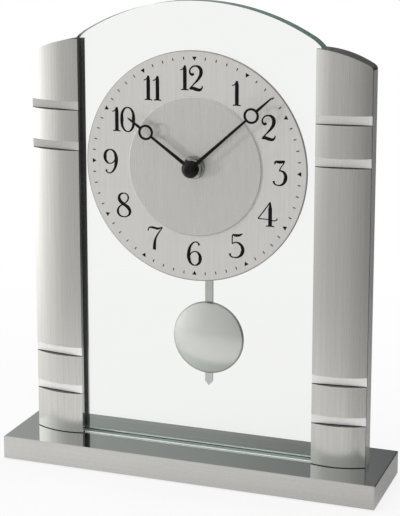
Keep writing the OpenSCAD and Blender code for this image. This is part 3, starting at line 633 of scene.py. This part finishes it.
def pillar_bands(n, place):
    """The four flat bands and the pillar's outer side, in painted light and shade, with painted shade on each
    ledge.
    """
    x, y, z = n.split(place)
    aside = n.maths("ABSOLUTE", x)
    bands = n.any_of(*[n.within(z, foot - SIDE_SLACK, foot + BAND_TALL + SIDE_SLACK) for foot in BAND_FEET])
    bands = n.all_of(bands, n.outside(pillar_sides(n, place)))
    ledges = n.any_of(n.below(z, PILLAR_LOW.z + FOOT_SHADOW),
                      *[n.within(z, foot - LEDGE_UNDER, foot + LEDGE_OVER) for foot in BAND_FEET])
    slot = n.all_of(n.below(aside, PANE_HIGH.x + SLOT_ROOM), n.above(y, -PANE_HIGH.y - SLOT_ROOM))
    matt = n.all_of(n.any_of(bands, ledges), n.outside(slot), n.below(y, PILLAR_BACK))
    right = n.above(x, 0.0)
    tint = n.blend(n.fit(z, FADE_LOW, FADE_HIGH), LOWER_BAND_HIGHLIGHT, n.blend(right, LEFT_BAND_SHADE, RIGHT_BAND_LIGHT))
    # The outer side: painted shade on the left and at the front corner, painted light on the right
    flank_light_and_shade = n.blend(n.below(y, SHADED_CORNER_END), n.blend(right, LEFT_FLANK_SHADE, RIGHT_FLANK_LIGHT), CORNER_PAINTED_SHADE)
    outer = n.above(aside, PILLAR_HIGH.x - SIDE_SLACK)
    tint = n.blend(outer, tint, flank_light_and_shade)
    # Painted shade on the ledges
    return n.any_of(matt, outer), n.blend(n.all_of(ledges, n.outside(outer)), tint, LEDGE_PAINTED_SHADE)


def base_polish(n, place):
    """The top face."""
    return n.above(n.split(place)[2], BASE_HIGH.z - FACE_SLACK)


# Room round the pane's foot that counts as its groove: beside it, at its ends and under it
GROOVE_SIDE, GROOVE_END, GROOVE_FLOOR = 0.5 * MM, 2 * MM, 0.1 * MM
GROOVE_LIP = 0.5 * MM
# Painted light on the groove's floor and painted shade on its lip
GROOVE_PAINTED_LIGHT, GROOVE_PAINTED_SHADE = (0.95, 1.0, 0.97), (0.05, 0.07, 0.06)


def base_groove(n, place):
    """The pane's groove: painted light on the floor under the foot of the glass, and painted shade on the lip
    above it.
    """
    x, y, z = n.split(place)
    mask = n.all_of(n.below(n.maths("ABSOLUTE", y), PANE_HIGH.y + GROOVE_SIDE),
                    n.below(n.maths("ABSOLUTE", x), PANE_HIGH.x + GROOVE_END),
                    n.within(z, PANE_LOW.z - GROOVE_FLOOR, BASE_HIGH.z - FACE_SLACK))
    return mask, n.blend(n.above(z, BASE_HIGH.z - GROOVE_LIP), GROOVE_PAINTED_LIGHT, GROOVE_PAINTED_SHADE)


# Mesh helpers

def finish_piece(name, mesh, body, material):
    """Puts a new piece in the scene, with its material, on the body that it moves with."""
    piece = bpy.data.objects.new(name, mesh)
    bpy.context.scene.collection.objects.link(piece)
    mesh.materials.clear()
    mesh.materials.append(material)
    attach(piece, body)
    return piece


def mesh_from(work, name):
    """Turns the work into a mesh, with its faces pointing outwards."""
    mesh = bpy.data.meshes.new(name)
    bmesh.ops.recalc_face_normals(work, faces=work.faces)
    work.to_mesh(mesh)
    work.free()
    return mesh


def dress(nodes, material):
    """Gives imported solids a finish."""
    for name in nodes:
        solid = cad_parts[name]
        if not solid.material_slots:
            solid.data.materials.append(material)
        for slot in solid.material_slots:
            slot.link = "OBJECT"
            slot.material = material


# Pen strokes of the numerals: points (across, up, half width) in parts of the numeral's height

THICK, THIN = 0.078, 0.025
DIGITS = {
    "0": [[(0.0, 0.985, THIN), (0.19, 0.86, 0.05), (0.25, 0.5, THICK), (0.19, 0.14, 0.05), (0.0, 0.015, THIN),
           (-0.19, 0.14, 0.05), (-0.25, 0.5, THICK), (-0.19, 0.86, 0.05), (0.0, 0.985, THIN)]],
    "1": [[(0.0, 0.98, 0.045), (0.0, 0.8, THICK), (0.0, 0.4, THICK), (0.0, 0.05, THICK)],
          [(-0.19, 0.79, THIN), (-0.1, 0.83, 0.022), (0.0, 0.96, 0.035)],
          [(-0.16, 0.018, THIN), (0.0, 0.03, 0.03), (0.16, 0.018, THIN)]],
    "2": [[(-0.07, 0.68, 0.045), (-0.14, 0.63, 0.06), (-0.23, 0.7, 0.04), (-0.2, 0.87, 0.03),
           (0.0, 0.975, 0.032), (0.18, 0.9, 0.07), (0.23, 0.72, 0.08), (0.14, 0.5, 0.06), (-0.06, 0.27, 0.03),
           (-0.25, 0.07, THIN)],
          [(-0.25, 0.06, 0.035), (-0.13, 0.095, 0.07), (0.02, 0.06, 0.075), (0.17, 0.04, 0.062),
           (0.26, 0.1, 0.035), (0.29, 0.2, THIN)]],
    "3": [[(-0.19, 0.82, THIN), (-0.16, 0.92, 0.045), (0.0, 0.925, 0.068), (0.2, 0.95, 0.05),
           (0.22, 0.94, 0.02)],
          [(0.21, 0.93, 0.025), (0.1, 0.78, 0.022), (0.0, 0.6, THIN)],
          [(-0.02, 0.585, THIN), (0.12, 0.57, 0.04), (0.24, 0.44, 0.07), (0.24, 0.24, THICK),
           (0.12, 0.05, 0.045), (-0.06, 0.01, 0.025), (-0.2, 0.07, 0.035), (-0.23, 0.17, 0.055)]],
    "4": [[(0.1, 0.99, THIN), (0.1, 0.7, THICK), (0.1, 0.3, THICK), (0.1, 0.05, THICK)],
          [(0.09, 0.97, THIN), (-0.12, 0.64, THIN), (-0.35, 0.3, THIN)],
          [(-0.35, 0.3, THIN), (0.0, 0.29, 0.022), (0.34, 0.29, THIN), (0.36, 0.36, THIN)],
          [(-0.05, 0.018, THIN), (0.1, 0.03, 0.03), (0.25, 0.018, THIN)]],
    "5": [[(-0.15, 0.56, THIN), (-0.15, 0.75, THIN), (-0.14, 0.92, 0.025)],
          [(-0.14, 0.94, 0.03), (-0.04, 0.91, 0.06), (0.1, 0.92, 0.055), (0.24, 0.99, THIN)],
          [(-0.15, 0.56, THIN), (-0.03, 0.625, 0.025), (0.13, 0.58, 0.05), (0.24, 0.42, 0.075),
           (0.23, 0.22, THICK), (0.1, 0.05, 0.04), (-0.08, 0.01, 0.025), (-0.21, 0.06, 0.035),
           (-0.24, 0.16, 0.055)]],
    "6": [[(0.2, 0.84, 0.05), (0.14, 0.95, 0.028), (0.03, 0.97, THIN), (-0.14, 0.84, 0.045),
           (-0.24, 0.55, 0.075), (-0.24, 0.28, THICK), (-0.13, 0.06, 0.045), (0.02, 0.015, 0.025),
           (0.18, 0.1, 0.055), (0.24, 0.3, THICK), (0.18, 0.5, 0.055), (0.04, 0.58, 0.025),
           (-0.12, 0.52, THIN), (-0.21, 0.38, THIN)]],
    "7": [[(-0.29, 0.8, THIN), (-0.25, 0.93, 0.03), (-0.1, 0.95, 0.05), (0.08, 0.92, 0.05),
           (0.27, 0.99, 0.022)],
          [(0.27, 0.98, THIN), (0.13, 0.76, 0.03), (0.0, 0.5, 0.045), (-0.04, 0.25, 0.07),
           (-0.05, 0.04, 0.072)]],
    "8": [[(0.0, 0.985, THIN), (-0.16, 0.9, 0.05), (-0.17, 0.7, THICK), (0.0, 0.53, 0.07),
           (0.18, 0.38, THICK), (0.23, 0.2, 0.06), (0.12, 0.045, 0.03), (0.0, 0.015, THIN),
           (-0.16, 0.06, 0.04), (-0.24, 0.22, 0.055), (-0.18, 0.41, 0.035), (0.0, 0.55, 0.025),
           (0.13, 0.68, 0.03), (0.17, 0.82, 0.04), (0.12, 0.94, 0.03), (0.0, 0.985, THIN)]],
    "9": [[(-0.2, 0.16, 0.05), (-0.14, 0.05, 0.028), (-0.03, 0.03, THIN), (0.14, 0.16, 0.045),
           (0.24, 0.45, 0.075), (0.24, 0.72, THICK), (0.13, 0.94, 0.045), (-0.02, 0.985, 0.025),
           (-0.18, 0.9, 0.055), (-0.24, 0.7, THICK), (-0.18, 0.5, 0.055), (-0.04, 0.42, 0.025),
           (0.12, 0.48, THIN), (0.21, 0.62, THIN)]],
}
# How far one digit moves the next along, in parts of the numeral's height, and what some are widened by
DIGIT_STEP = 0.5
DIGIT_STEPS = {"0": 0.55, "1": 0.39}
DIGIT_WIDTHS = {"4": 1.1, "5": 1.1, "7": 1.1, "8": 1.12}
# Some numerals stand a little aside from their hour or above it (millimetres right and up)
NUDGES = {4: (0.0, 1.0), 7: (1.0, 0.0), 9: (-1.2, 0.0), 11: (0.0, 0.5), 12: (-1.8, 0.5)}


def numeral_strokes(text):
    """The strokes of one numeral, centred across."""
    steps = [DIGIT_STEPS.get(digit, DIGIT_STEP) for digit in text]
    across = -sum(steps) / 2
    strokes = []
    for digit, step in zip(text, steps):
        middle = across + step / 2
        wide = DIGIT_WIDTHS.get(digit, 1.0)
        strokes += [[(x * wide + middle, y, half) for x, y, half in stroke] for stroke in DIGITS[digit]]
        across += step
    return strokes


def pen_mesh(name, strokes, scale, flat):
    """Draws the strokes with a round pen of changing width, then presses them flat."""
    curve = bpy.data.curves.new(name, "CURVE")
    curve.dimensions = "3D"
    curve.bevel_depth = 1.0
    curve.bevel_resolution = 3
    curve.resolution_u = 6
    curve.use_fill_caps = True
    for stroke in strokes:
        spline = curve.splines.new("BEZIER")
        closed = len(stroke) > 3 and stroke[0] == stroke[-1]
        points = stroke[:-1] if closed else stroke
        spline.use_cyclic_u = closed
        spline.bezier_points.add(len(points) - 1)
        for point, (x, y, half) in zip(spline.bezier_points, points):
            point.co = (x, 0.0, y - 0.5)
            point.radius = half
            point.handle_left_type = point.handle_right_type = "AUTO"
    drawn = bpy.data.objects.new(name, curve)
    bpy.context.scene.collection.objects.link(drawn)
    bpy.context.view_layer.update()
    mesh = bpy.data.meshes.new_from_object(drawn.evaluated_get(bpy.context.evaluated_depsgraph_get()))
    bpy.data.objects.remove(drawn)
    mesh.transform(Matrix.Diagonal((scale, flat, scale, 1.0)))
    return mesh


# Operators, one for each group of pieces

class ClockPiece:
    """What the operators share."""
    bl_options = {"REGISTER", "UNDO"}

    @property
    def sizes(self):
        return bpy.context.scene.clock_sizes

    @property
    def colours(self):
        return bpy.context.scene.clock_colours


class CLOCK_OT_base(ClockPiece, bpy.types.Operator):
    """Finish the base slab, its pads, and the screws and pin of plain steel"""
    bl_idname = "clock.base"
    bl_label = "Base"

    def execute(self, context):
        metal = brushed_metal("Brushed base", self.colours.base_metal, BRUSH_ALONG,
                              smooth=0.2, rough=0.3, contrast=0.93, polish=base_polish, polished=0.02,
                              polish_tint=(0.62, 0.66, 0.64), inlay=base_groove)
        dress(["base_slab"], metal)
        dress(["foot_pads"], rubber("Pad rubber", (0.03, 0.03, 0.03)))
        steel = plain_metal("Screw steel", (0.55, 0.55, 0.54))
        dress(["pillar_screws", "cover_screws", "pivot_pin"], steel)
        return {"FINISHED"}


class CLOCK_OT_pillars(ClockPiece, bpy.types.Operator):
    """Finish the two slotted pillars"""
    bl_idname = "clock.pillars"
    bl_label = "Pillars"

    def execute(self, context):
        metal = brushed_metal("Brushed pillars", self.colours.pillar_metal, BRUSH_UP,
                              smooth=0.17, rough=0.28, contrast=0.89, polish=pillar_sides, inlay=pillar_bands)
        dress(["left_pillar", "right_pillar"], metal)
        return {"FINISHED"}


# Two beads along the pane's foot: thickness, rounding, distance from the pane, and room at the ends
SEAL = 0.55 * MM
SEAL_ROUND = 0.3 * SEAL
SEAL_OFF = 0.54 * SEAL
SEAL_ENDS = 0.3 * MM


class CLOCK_OT_pane(ClockPiece, bpy.types.Operator):
    """Finish the arched glass pane"""
    bl_idname = "clock.pane"
    bl_label = "Glass pane"

    def execute(self, context):
        dress(["glass_panel"], pane_glass("Float glass", self.colours.glass))
        self.seal()
        return {"FINISHED"}

    def seal(self):
        """Two clear beads that bed the pane in the base's groove, made opaque and pale as a painted
        highlight.
        """
        work = bmesh.new()
        size = Matrix.Diagonal((2 * (PILLAR_LOW.x - SEAL_ENDS), SEAL, SEAL, 1.0))
        for side in (-1, 1):
            at = (0.0, side * (PANE_HIGH.y + SEAL_OFF), BASE_HIGH.z + SEAL / 2)
            bmesh.ops.create_cube(work, size=1.0, matrix=Matrix.Translation(at) @ size)
        along = [edge for edge in work.edges if edge.calc_length() > 2 * SEAL]
        bmesh.ops.bevel(work, geom=along, offset=SEAL_ROUND, segments=2, profile=0.5,
                        affect="EDGES", material=-1)
        # The clear beads are opaque and pale: a painted highlight
        clear = lacquer("Clear seal painted highlight", (0.85, 0.9, 0.88), 0.2, 0.6)
        finish_piece("pane_seal", mesh_from(work, "pane_seal"), "clock", clear)


class CLOCK_OT_dial(ClockPiece, bpy.types.Operator):
    """Finish the dial and print its numerals and marks"""
    bl_idname = "clock.dial"
    bl_label = "Dial"

    def execute(self, context):
        dress(["dial_plate"], dial_paint("Dial silver", self.colours.dial_ring))
        dress(["dial_centre_disc"], dial_metal("Brushed dial centre", self.colours.dial_disc))
        ink = lacquer("Dial ink", self.colours.ink, 0.6, 0.1)
        self.numerals(ink)
        self.marks(ink)
        return {"FINISHED"}

    def numerals(self, ink):
        tall = self.sizes.numeral_height
        ring = self.sizes.numeral_ring
        flat = self.sizes.print_height / (2 * THICK)
        for hour in range(1, 13):
            turn = math.radians(30 * hour)
            name = f"numeral_{hour:02d}"
            mesh = pen_mesh(name, numeral_strokes(str(hour)), tall, flat)
            spot = Vector((ring * math.sin(turn), DIAL_FRONT, DIAL_CENTRE.z + ring * math.cos(turn)))
            aside, up = NUDGES.get(hour, (0.0, 0.0))
            spot += Vector((aside * MM, 0.0, up * MM))
            mesh.transform(Matrix.Translation(spot))
            finish_piece(name, mesh, "clock", ink)

    def marks(self, ink):
        ring = self.sizes.mark_ring
        deep = self.sizes.print_height
        ticks = bmesh.new()
        triangles = bmesh.new()
        centre = Matrix.Translation((0.0, DIAL_FRONT, DIAL_CENTRE.z))
        out = Matrix.Translation((0.0, 0.0, ring))
        size = Matrix.Diagonal((self.sizes.tick_width, deep, self.sizes.tick_length, 1.0))
        radius = self.sizes.triangle_side / math.sqrt(3)
        lay = Matrix.Rotation(math.radians(-90), 4, "X")
        for minute in range(60):
            place = centre @ Matrix.Rotation(math.radians(6 * minute), 4, "Y") @ out
            if minute % 5:
                bmesh.ops.create_cube(ticks, size=1.0, matrix=place @ size)
            else:
                bmesh.ops.create_cone(triangles, cap_ends=True, segments=3, radius1=radius, radius2=radius,
                                      depth=deep, matrix=place @ lay)
        finish_piece("minute_marks", mesh_from(ticks, "minute_marks"), "clock", ink)
        finish_piece("hour_marks", mesh_from(triangles, "hour_marks"), "clock", ink)


class CLOCK_OT_hands(ClockPiece, bpy.types.Operator):
    """Finish the hands, their cap and the threaded shaft"""
    bl_idname = "clock.hands"
    bl_label = "Hands"

    def execute(self, context):
        dress(["hour_hand", "minute_hand"], lacquer("Hand lacquer", self.colours.hands, 0.4, 0.15))
        dress(["hub_cap"], lacquer("Cap lacquer", self.colours.hands, 0.06, 0.22))
        dress(["threaded_bushing", "hex_nut"], plain_metal("Plated brass", (0.6, 0.63, 0.58), 0.2))
        dress(["brass_washer"], plain_metal("Plated washer", (0.4, 0.42, 0.39), 0.25))
        dress(["clutch_spring"], plain_metal("Spring brass", (0.72, 0.55, 0.3), 0.3))
        return {"FINISHED"}


class CLOCK_OT_movement(ClockPiece, bpy.types.Operator):
    """Finish the movement's housing, its train and its motor"""
    bl_idname = "clock.movement"
    bl_label = "Movement"

    def execute(self, context):
        dress(["movement_case", "movement_cover"], plastic("Housing plastic", self.colours.housing))
        dress(["rubber_washer"], rubber("Washer rubber", (0.02, 0.02, 0.02)))
        gears = plastic("Wheel plastic", self.colours.gears, 2.0)
        dress(["train_plate", "centre_arbor", "hour_wheel", "motion_wheel", "centre_wheel", "third_wheel",
               "fourth_wheel", "intermediate_wheel"], gears)
        dress(["set_knob"], plastic("Knob plastic", (0.7, 0.7, 0.68), 1.5))
        dress(["rotor"], plain_metal("Rotor magnet", (0.15, 0.15, 0.16), 0.35))
        dress(["stator"], plain_metal("Stator steel", (0.45, 0.45, 0.46), 0.3))
        contact = plain_metal("Plated contact", (0.75, 0.75, 0.74), 0.2)
        dress(["contact_positive", "contact_negative"], contact)
        dress(["quartz_crystal"], plain_metal("Crystal can", (0.8, 0.8, 0.8), 0.12))
        dress(["drive_coil"], winding("Motor winding", (0.55, 0.22, 0.08), 0))
        dress(["pendulum_coil"], winding("Pendulum winding", (0.5, 0.2, 0.07), 1))
        dress(["circuit_board"], circuit("Circuit board", (0.02, 0.12, 0.04)))
        return {"FINISHED"}


class CLOCK_OT_battery(ClockPiece, bpy.types.Operator):
    """Finish the dry cell"""
    bl_idname = "clock.battery"
    bl_label = "Battery"

    def execute(self, context):
        dress(["battery"], cell_sleeve("Cell sleeve"))
        return {"FINISHED"}


class CLOCK_OT_pendulum(ClockPiece, bpy.types.Operator):
    """Finish the pendulum and its hanger"""
    bl_idname = "clock.pendulum"
    bl_label = "Pendulum"

    def execute(self, context):
        dress(["pendulum_bob"], bob_metal("Satin bob", self.colours.bob))
        rod = brushed_metal("Brushed rod", shade(self.colours.bob, 0.9), BRUSH_UP,
                            smooth=0.25, rough=0.35, contrast=0.92)
        dress(["pendulum_rod", "bob_clip"], rod)
        dress(["pendulum_hanger"], plastic("Hanger plastic", (0.75, 0.75, 0.72), 2.0))
        dress(["hanger_magnet"], plain_metal("Plated magnet", (0.3, 0.3, 0.3), 0.25))
        return {"FINISHED"}


# Studio

FLOOR_RADIUS = 0.9
# The floor's own glow, and the distances between which it grows to full white
FLOOR_GLOW = 0.8
NEAR_FLOOR, FAR_FLOOR = 0.16, 0.4
# Strength of the light sheet in front of the clock: at its left end, its right half and past its right end
FILL_LEFT, FILL_RIGHT, FILL_SIDE = 0.56, 0.38, 0.15
FILL_RIGHT_FROM = 0.3 * BASE_HIGH.x
FILL_SIDE_FROM = 1.25 * BASE_HIGH.x
# The sheet fades between these distances, and is full this far in front
FILL_START, FILL_END, FILL_FRONT = 0.08, 0.29, -0.04
FILL_TINT = (1.0, 1.0, 0.98)
# The floor mirrors the surround as seen from this far behind the clock
SURROUND_BACK = 0.17
# The sky seen through the pane is white up to the first of these heights, and fades up to the second
SKY_LOW, SKY_HIGH = 0.3, 0.6
# The colour that the studio turns to overhead
SKY_TOP = (0.6, 0.6, 0.6)
WHITE = (1.0, 1.0, 1.0)
# Name, place, width and watts of each lamp. They all face one point.
LAMPS = (
    ("key lamp", (-0.95, -0.7, 0.1), 0.16, 4.8),
    ("top lamp", (-0.1, -0.1, 1.1), 0.9, 3.5),
    ("front lamp", (0.35, -1.1, 0.35), 0.6, 1.6),
    ("back lamp", (0.2, 1.0, 0.6), 0.8, 4.0),
)
LAMPS_FACE = Vector((0.0, 0.0, 0.12))
CAMERA_AT = (0.2462, -0.6728, 0.2883)
# Degrees from straight ahead and down from level
CAMERA_TURN, CAMERA_DIP = 20.03, 10.82
# Focal length in pixels of a picture this high, on a sensor of this many millimetres
CAMERA_PIXELS, PICTURE_HIGH, SENSOR = 1530.5, 516.0, 36.0
CAMERA_RISE = -0.178
CLIP_NEAR, CLIP_FAR = 0.01, 20.0


def front_sheet(n, place, distance):
    """How much of the light sheet in front of the clock lies at a place on the floor."""
    across, along, _ = n.split(place)
    return n.all_of(n.fit(across, BASE_LOW.x, FILL_RIGHT_FROM, FILL_LEFT, FILL_RIGHT),
                    n.fit(across, BASE_HIGH.x, FILL_SIDE_FROM, 1.0, FILL_SIDE / FILL_RIGHT),
                    n.fit(along, 0.0, FILL_FRONT),
                    n.fit(distance, FILL_END, FILL_START))


def studio_paper(rgb):
    """Paper that glows white, and that shows the studio to rays that metal has mirrored."""
    material = bpy.data.materials.new("Studio paper")
    n = empty_tree(material)
    place = n.place()
    paper = n.add("ShaderNodeBsdfDiffuse")
    paper.inputs["Color"].default_value = opaque(rgb)
    path = n.add("ShaderNodeLightPath").outputs
    seen = n.any_of(path["Is Camera Ray"], path["Is Glossy Ray"], path["Is Transmission Ray"])
    away = n.add("ShaderNodeVectorMath", operation="LENGTH")
    n.link(place, away.inputs[0])
    distance = away.outputs["Value"]
    behind = n.add("ShaderNodeVectorMath", operation="SUBTRACT")
    n.link(place, behind.inputs[0])
    behind.inputs[1].default_value = (0.0, SURROUND_BACK, 0.0)
    around = use(n, studio_surround(), Vector=behind.outputs[0])["Color"]
    around = n.blend(front_sheet(n, place, distance), around, FILL_TINT)
    mirrored = n.above(path["Glossy Depth"], 0.5)
    glow = n.add("ShaderNodeEmission")
    n.link(n.blend(mirrored, WHITE, around), glow.inputs["Color"])
    mix = n.add("ShaderNodeMixShader")
    n.link(n.all_of(seen, n.fit(distance, NEAR_FLOOR, FAR_FLOOR, FLOOR_GLOW, 1.0)), mix.inputs[0])
    n.link(paper.outputs[0], mix.inputs[1])
    n.link(glow.outputs[0], mix.inputs[2])
    n.link(mix.outputs[0], n.add("ShaderNodeOutputMaterial").inputs["Surface"])
    return material


class CLOCK_OT_studio(ClockPiece, bpy.types.Operator):
    """Set up the floor, the soft light and the camera"""
    bl_idname = "clock.studio"
    bl_label = "Studio"

    def execute(self, context):
        scene = context.scene
        scene.view_settings.view_transform = "Standard"
        self.floor(scene)
        self.world(scene)
        self.lamps(scene)
        self.camera(scene)
        return {"FINISHED"}

    def floor(self, scene):
        work = bmesh.new()
        bmesh.ops.create_circle(work, cap_ends=True, segments=96, radius=FLOOR_RADIUS)
        mesh = mesh_from(work, "floor")
        mesh.materials.append(studio_paper(self.colours.floor))
        floor = bpy.data.objects.new("floor", mesh)
        scene.collection.objects.link(floor)

    def world(self, scene):
        """The studio for metal, and white for the camera and for what shows through the pane."""
        world = bpy.data.worlds.new("Studio")
        scene.world = world
        n = empty_tree(world)
        way = n.add("ShaderNodeTexCoord").outputs["Generated"]
        up = n.split(way)[2]
        around = use(n, studio_surround(), Vector=way)["Color"]
        around = n.blend(n.maths("POWER", n.maths("MAXIMUM", up, 0.0), 2.0), around, SKY_TOP)
        path = n.add("ShaderNodeLightPath").outputs
        through = n.all_of(path["Is Transmission Ray"], n.fit(up, SKY_LOW, SKY_HIGH, 1.0, 0.0),
                           n.below(path["Glossy Depth"], 0.5))
        back = n.add("ShaderNodeBackground")
        n.link(n.blend(n.any_of(path["Is Camera Ray"], through), around, WHITE), back.inputs["Color"])
        n.link(back.outputs[0], n.add("ShaderNodeOutputWorld").inputs["Surface"])

    def lamps(self, scene):
        for name, at, width, watts in LAMPS:
            light = bpy.data.lights.new(name, "AREA")
            light.shape = "DISK"
            light.size = width
            light.energy = watts
            lamp = bpy.data.objects.new(name, light)
            lamp.location = at
            lamp.rotation_euler = (LAMPS_FACE - Vector(at)).to_track_quat("-Z", "Y").to_euler()
            lamp.visible_glossy = lamp.visible_transmission = False
            scene.collection.objects.link(lamp)

    def camera(self, scene):
        data = bpy.data.cameras.new("camera")
        data.sensor_width = SENSOR
        data.lens = CAMERA_PIXELS / PICTURE_HIGH * SENSOR
        data.shift_y = CAMERA_RISE
        data.clip_start, data.clip_end = CLIP_NEAR, CLIP_FAR
        camera = bpy.data.objects.new("camera", data)
        camera.location = CAMERA_AT
        camera.rotation_euler = (math.radians(90 - CAMERA_DIP), 0.0, math.radians(CAMERA_TURN))
        scene.collection.objects.link(camera)
        scene.camera = camera


OPERATORS = (CLOCK_OT_base, CLOCK_OT_pillars, CLOCK_OT_pane, CLOCK_OT_dial, CLOCK_OT_hands, CLOCK_OT_movement,
             CLOCK_OT_battery, CLOCK_OT_pendulum, CLOCK_OT_studio)


class CLOCK_PT_panel(bpy.types.Panel):
    """Lists the clock's sizes, colours and steps"""
    bl_idname = "CLOCK_PT_panel"
    bl_label = "Desk pendulum clock"
    bl_space_type = "VIEW_3D"
    bl_region_type = "UI"
    bl_category = "Clock"

    def draw(self, context):
        column = self.layout.column()
        for group in (context.scene.clock_sizes, context.scene.clock_colours):
            for name in group.bl_rna.properties.keys():
                if name not in ("rna_type", "name"):
                    column.prop(group, name)
        for operator in OPERATORS:
            column.operator(operator.bl_idname)


CLASSES = (ClockSizes, ClockColours) + OPERATORS + (CLOCK_PT_panel,)


def register():
    for item in CLASSES:
        bpy.utils.register_class(item)
    bpy.types.Scene.clock_sizes = bpy.props.PointerProperty(type=ClockSizes)
    bpy.types.Scene.clock_colours = bpy.props.PointerProperty(type=ClockColours)


def unregister():
    del bpy.types.Scene.clock_sizes
    del bpy.types.Scene.clock_colours
    for item in reversed(CLASSES):
        bpy.utils.unregister_class(item)


def main():
    register()
    for operator in OPERATORS:
        name = operator.bl_idname.split(".")[1]
        if getattr(bpy.ops.clock, name)() != {"FINISHED"}:
            raise RuntimeError(f"{name} did not finish")


if __name__ == "__main__":
    main()
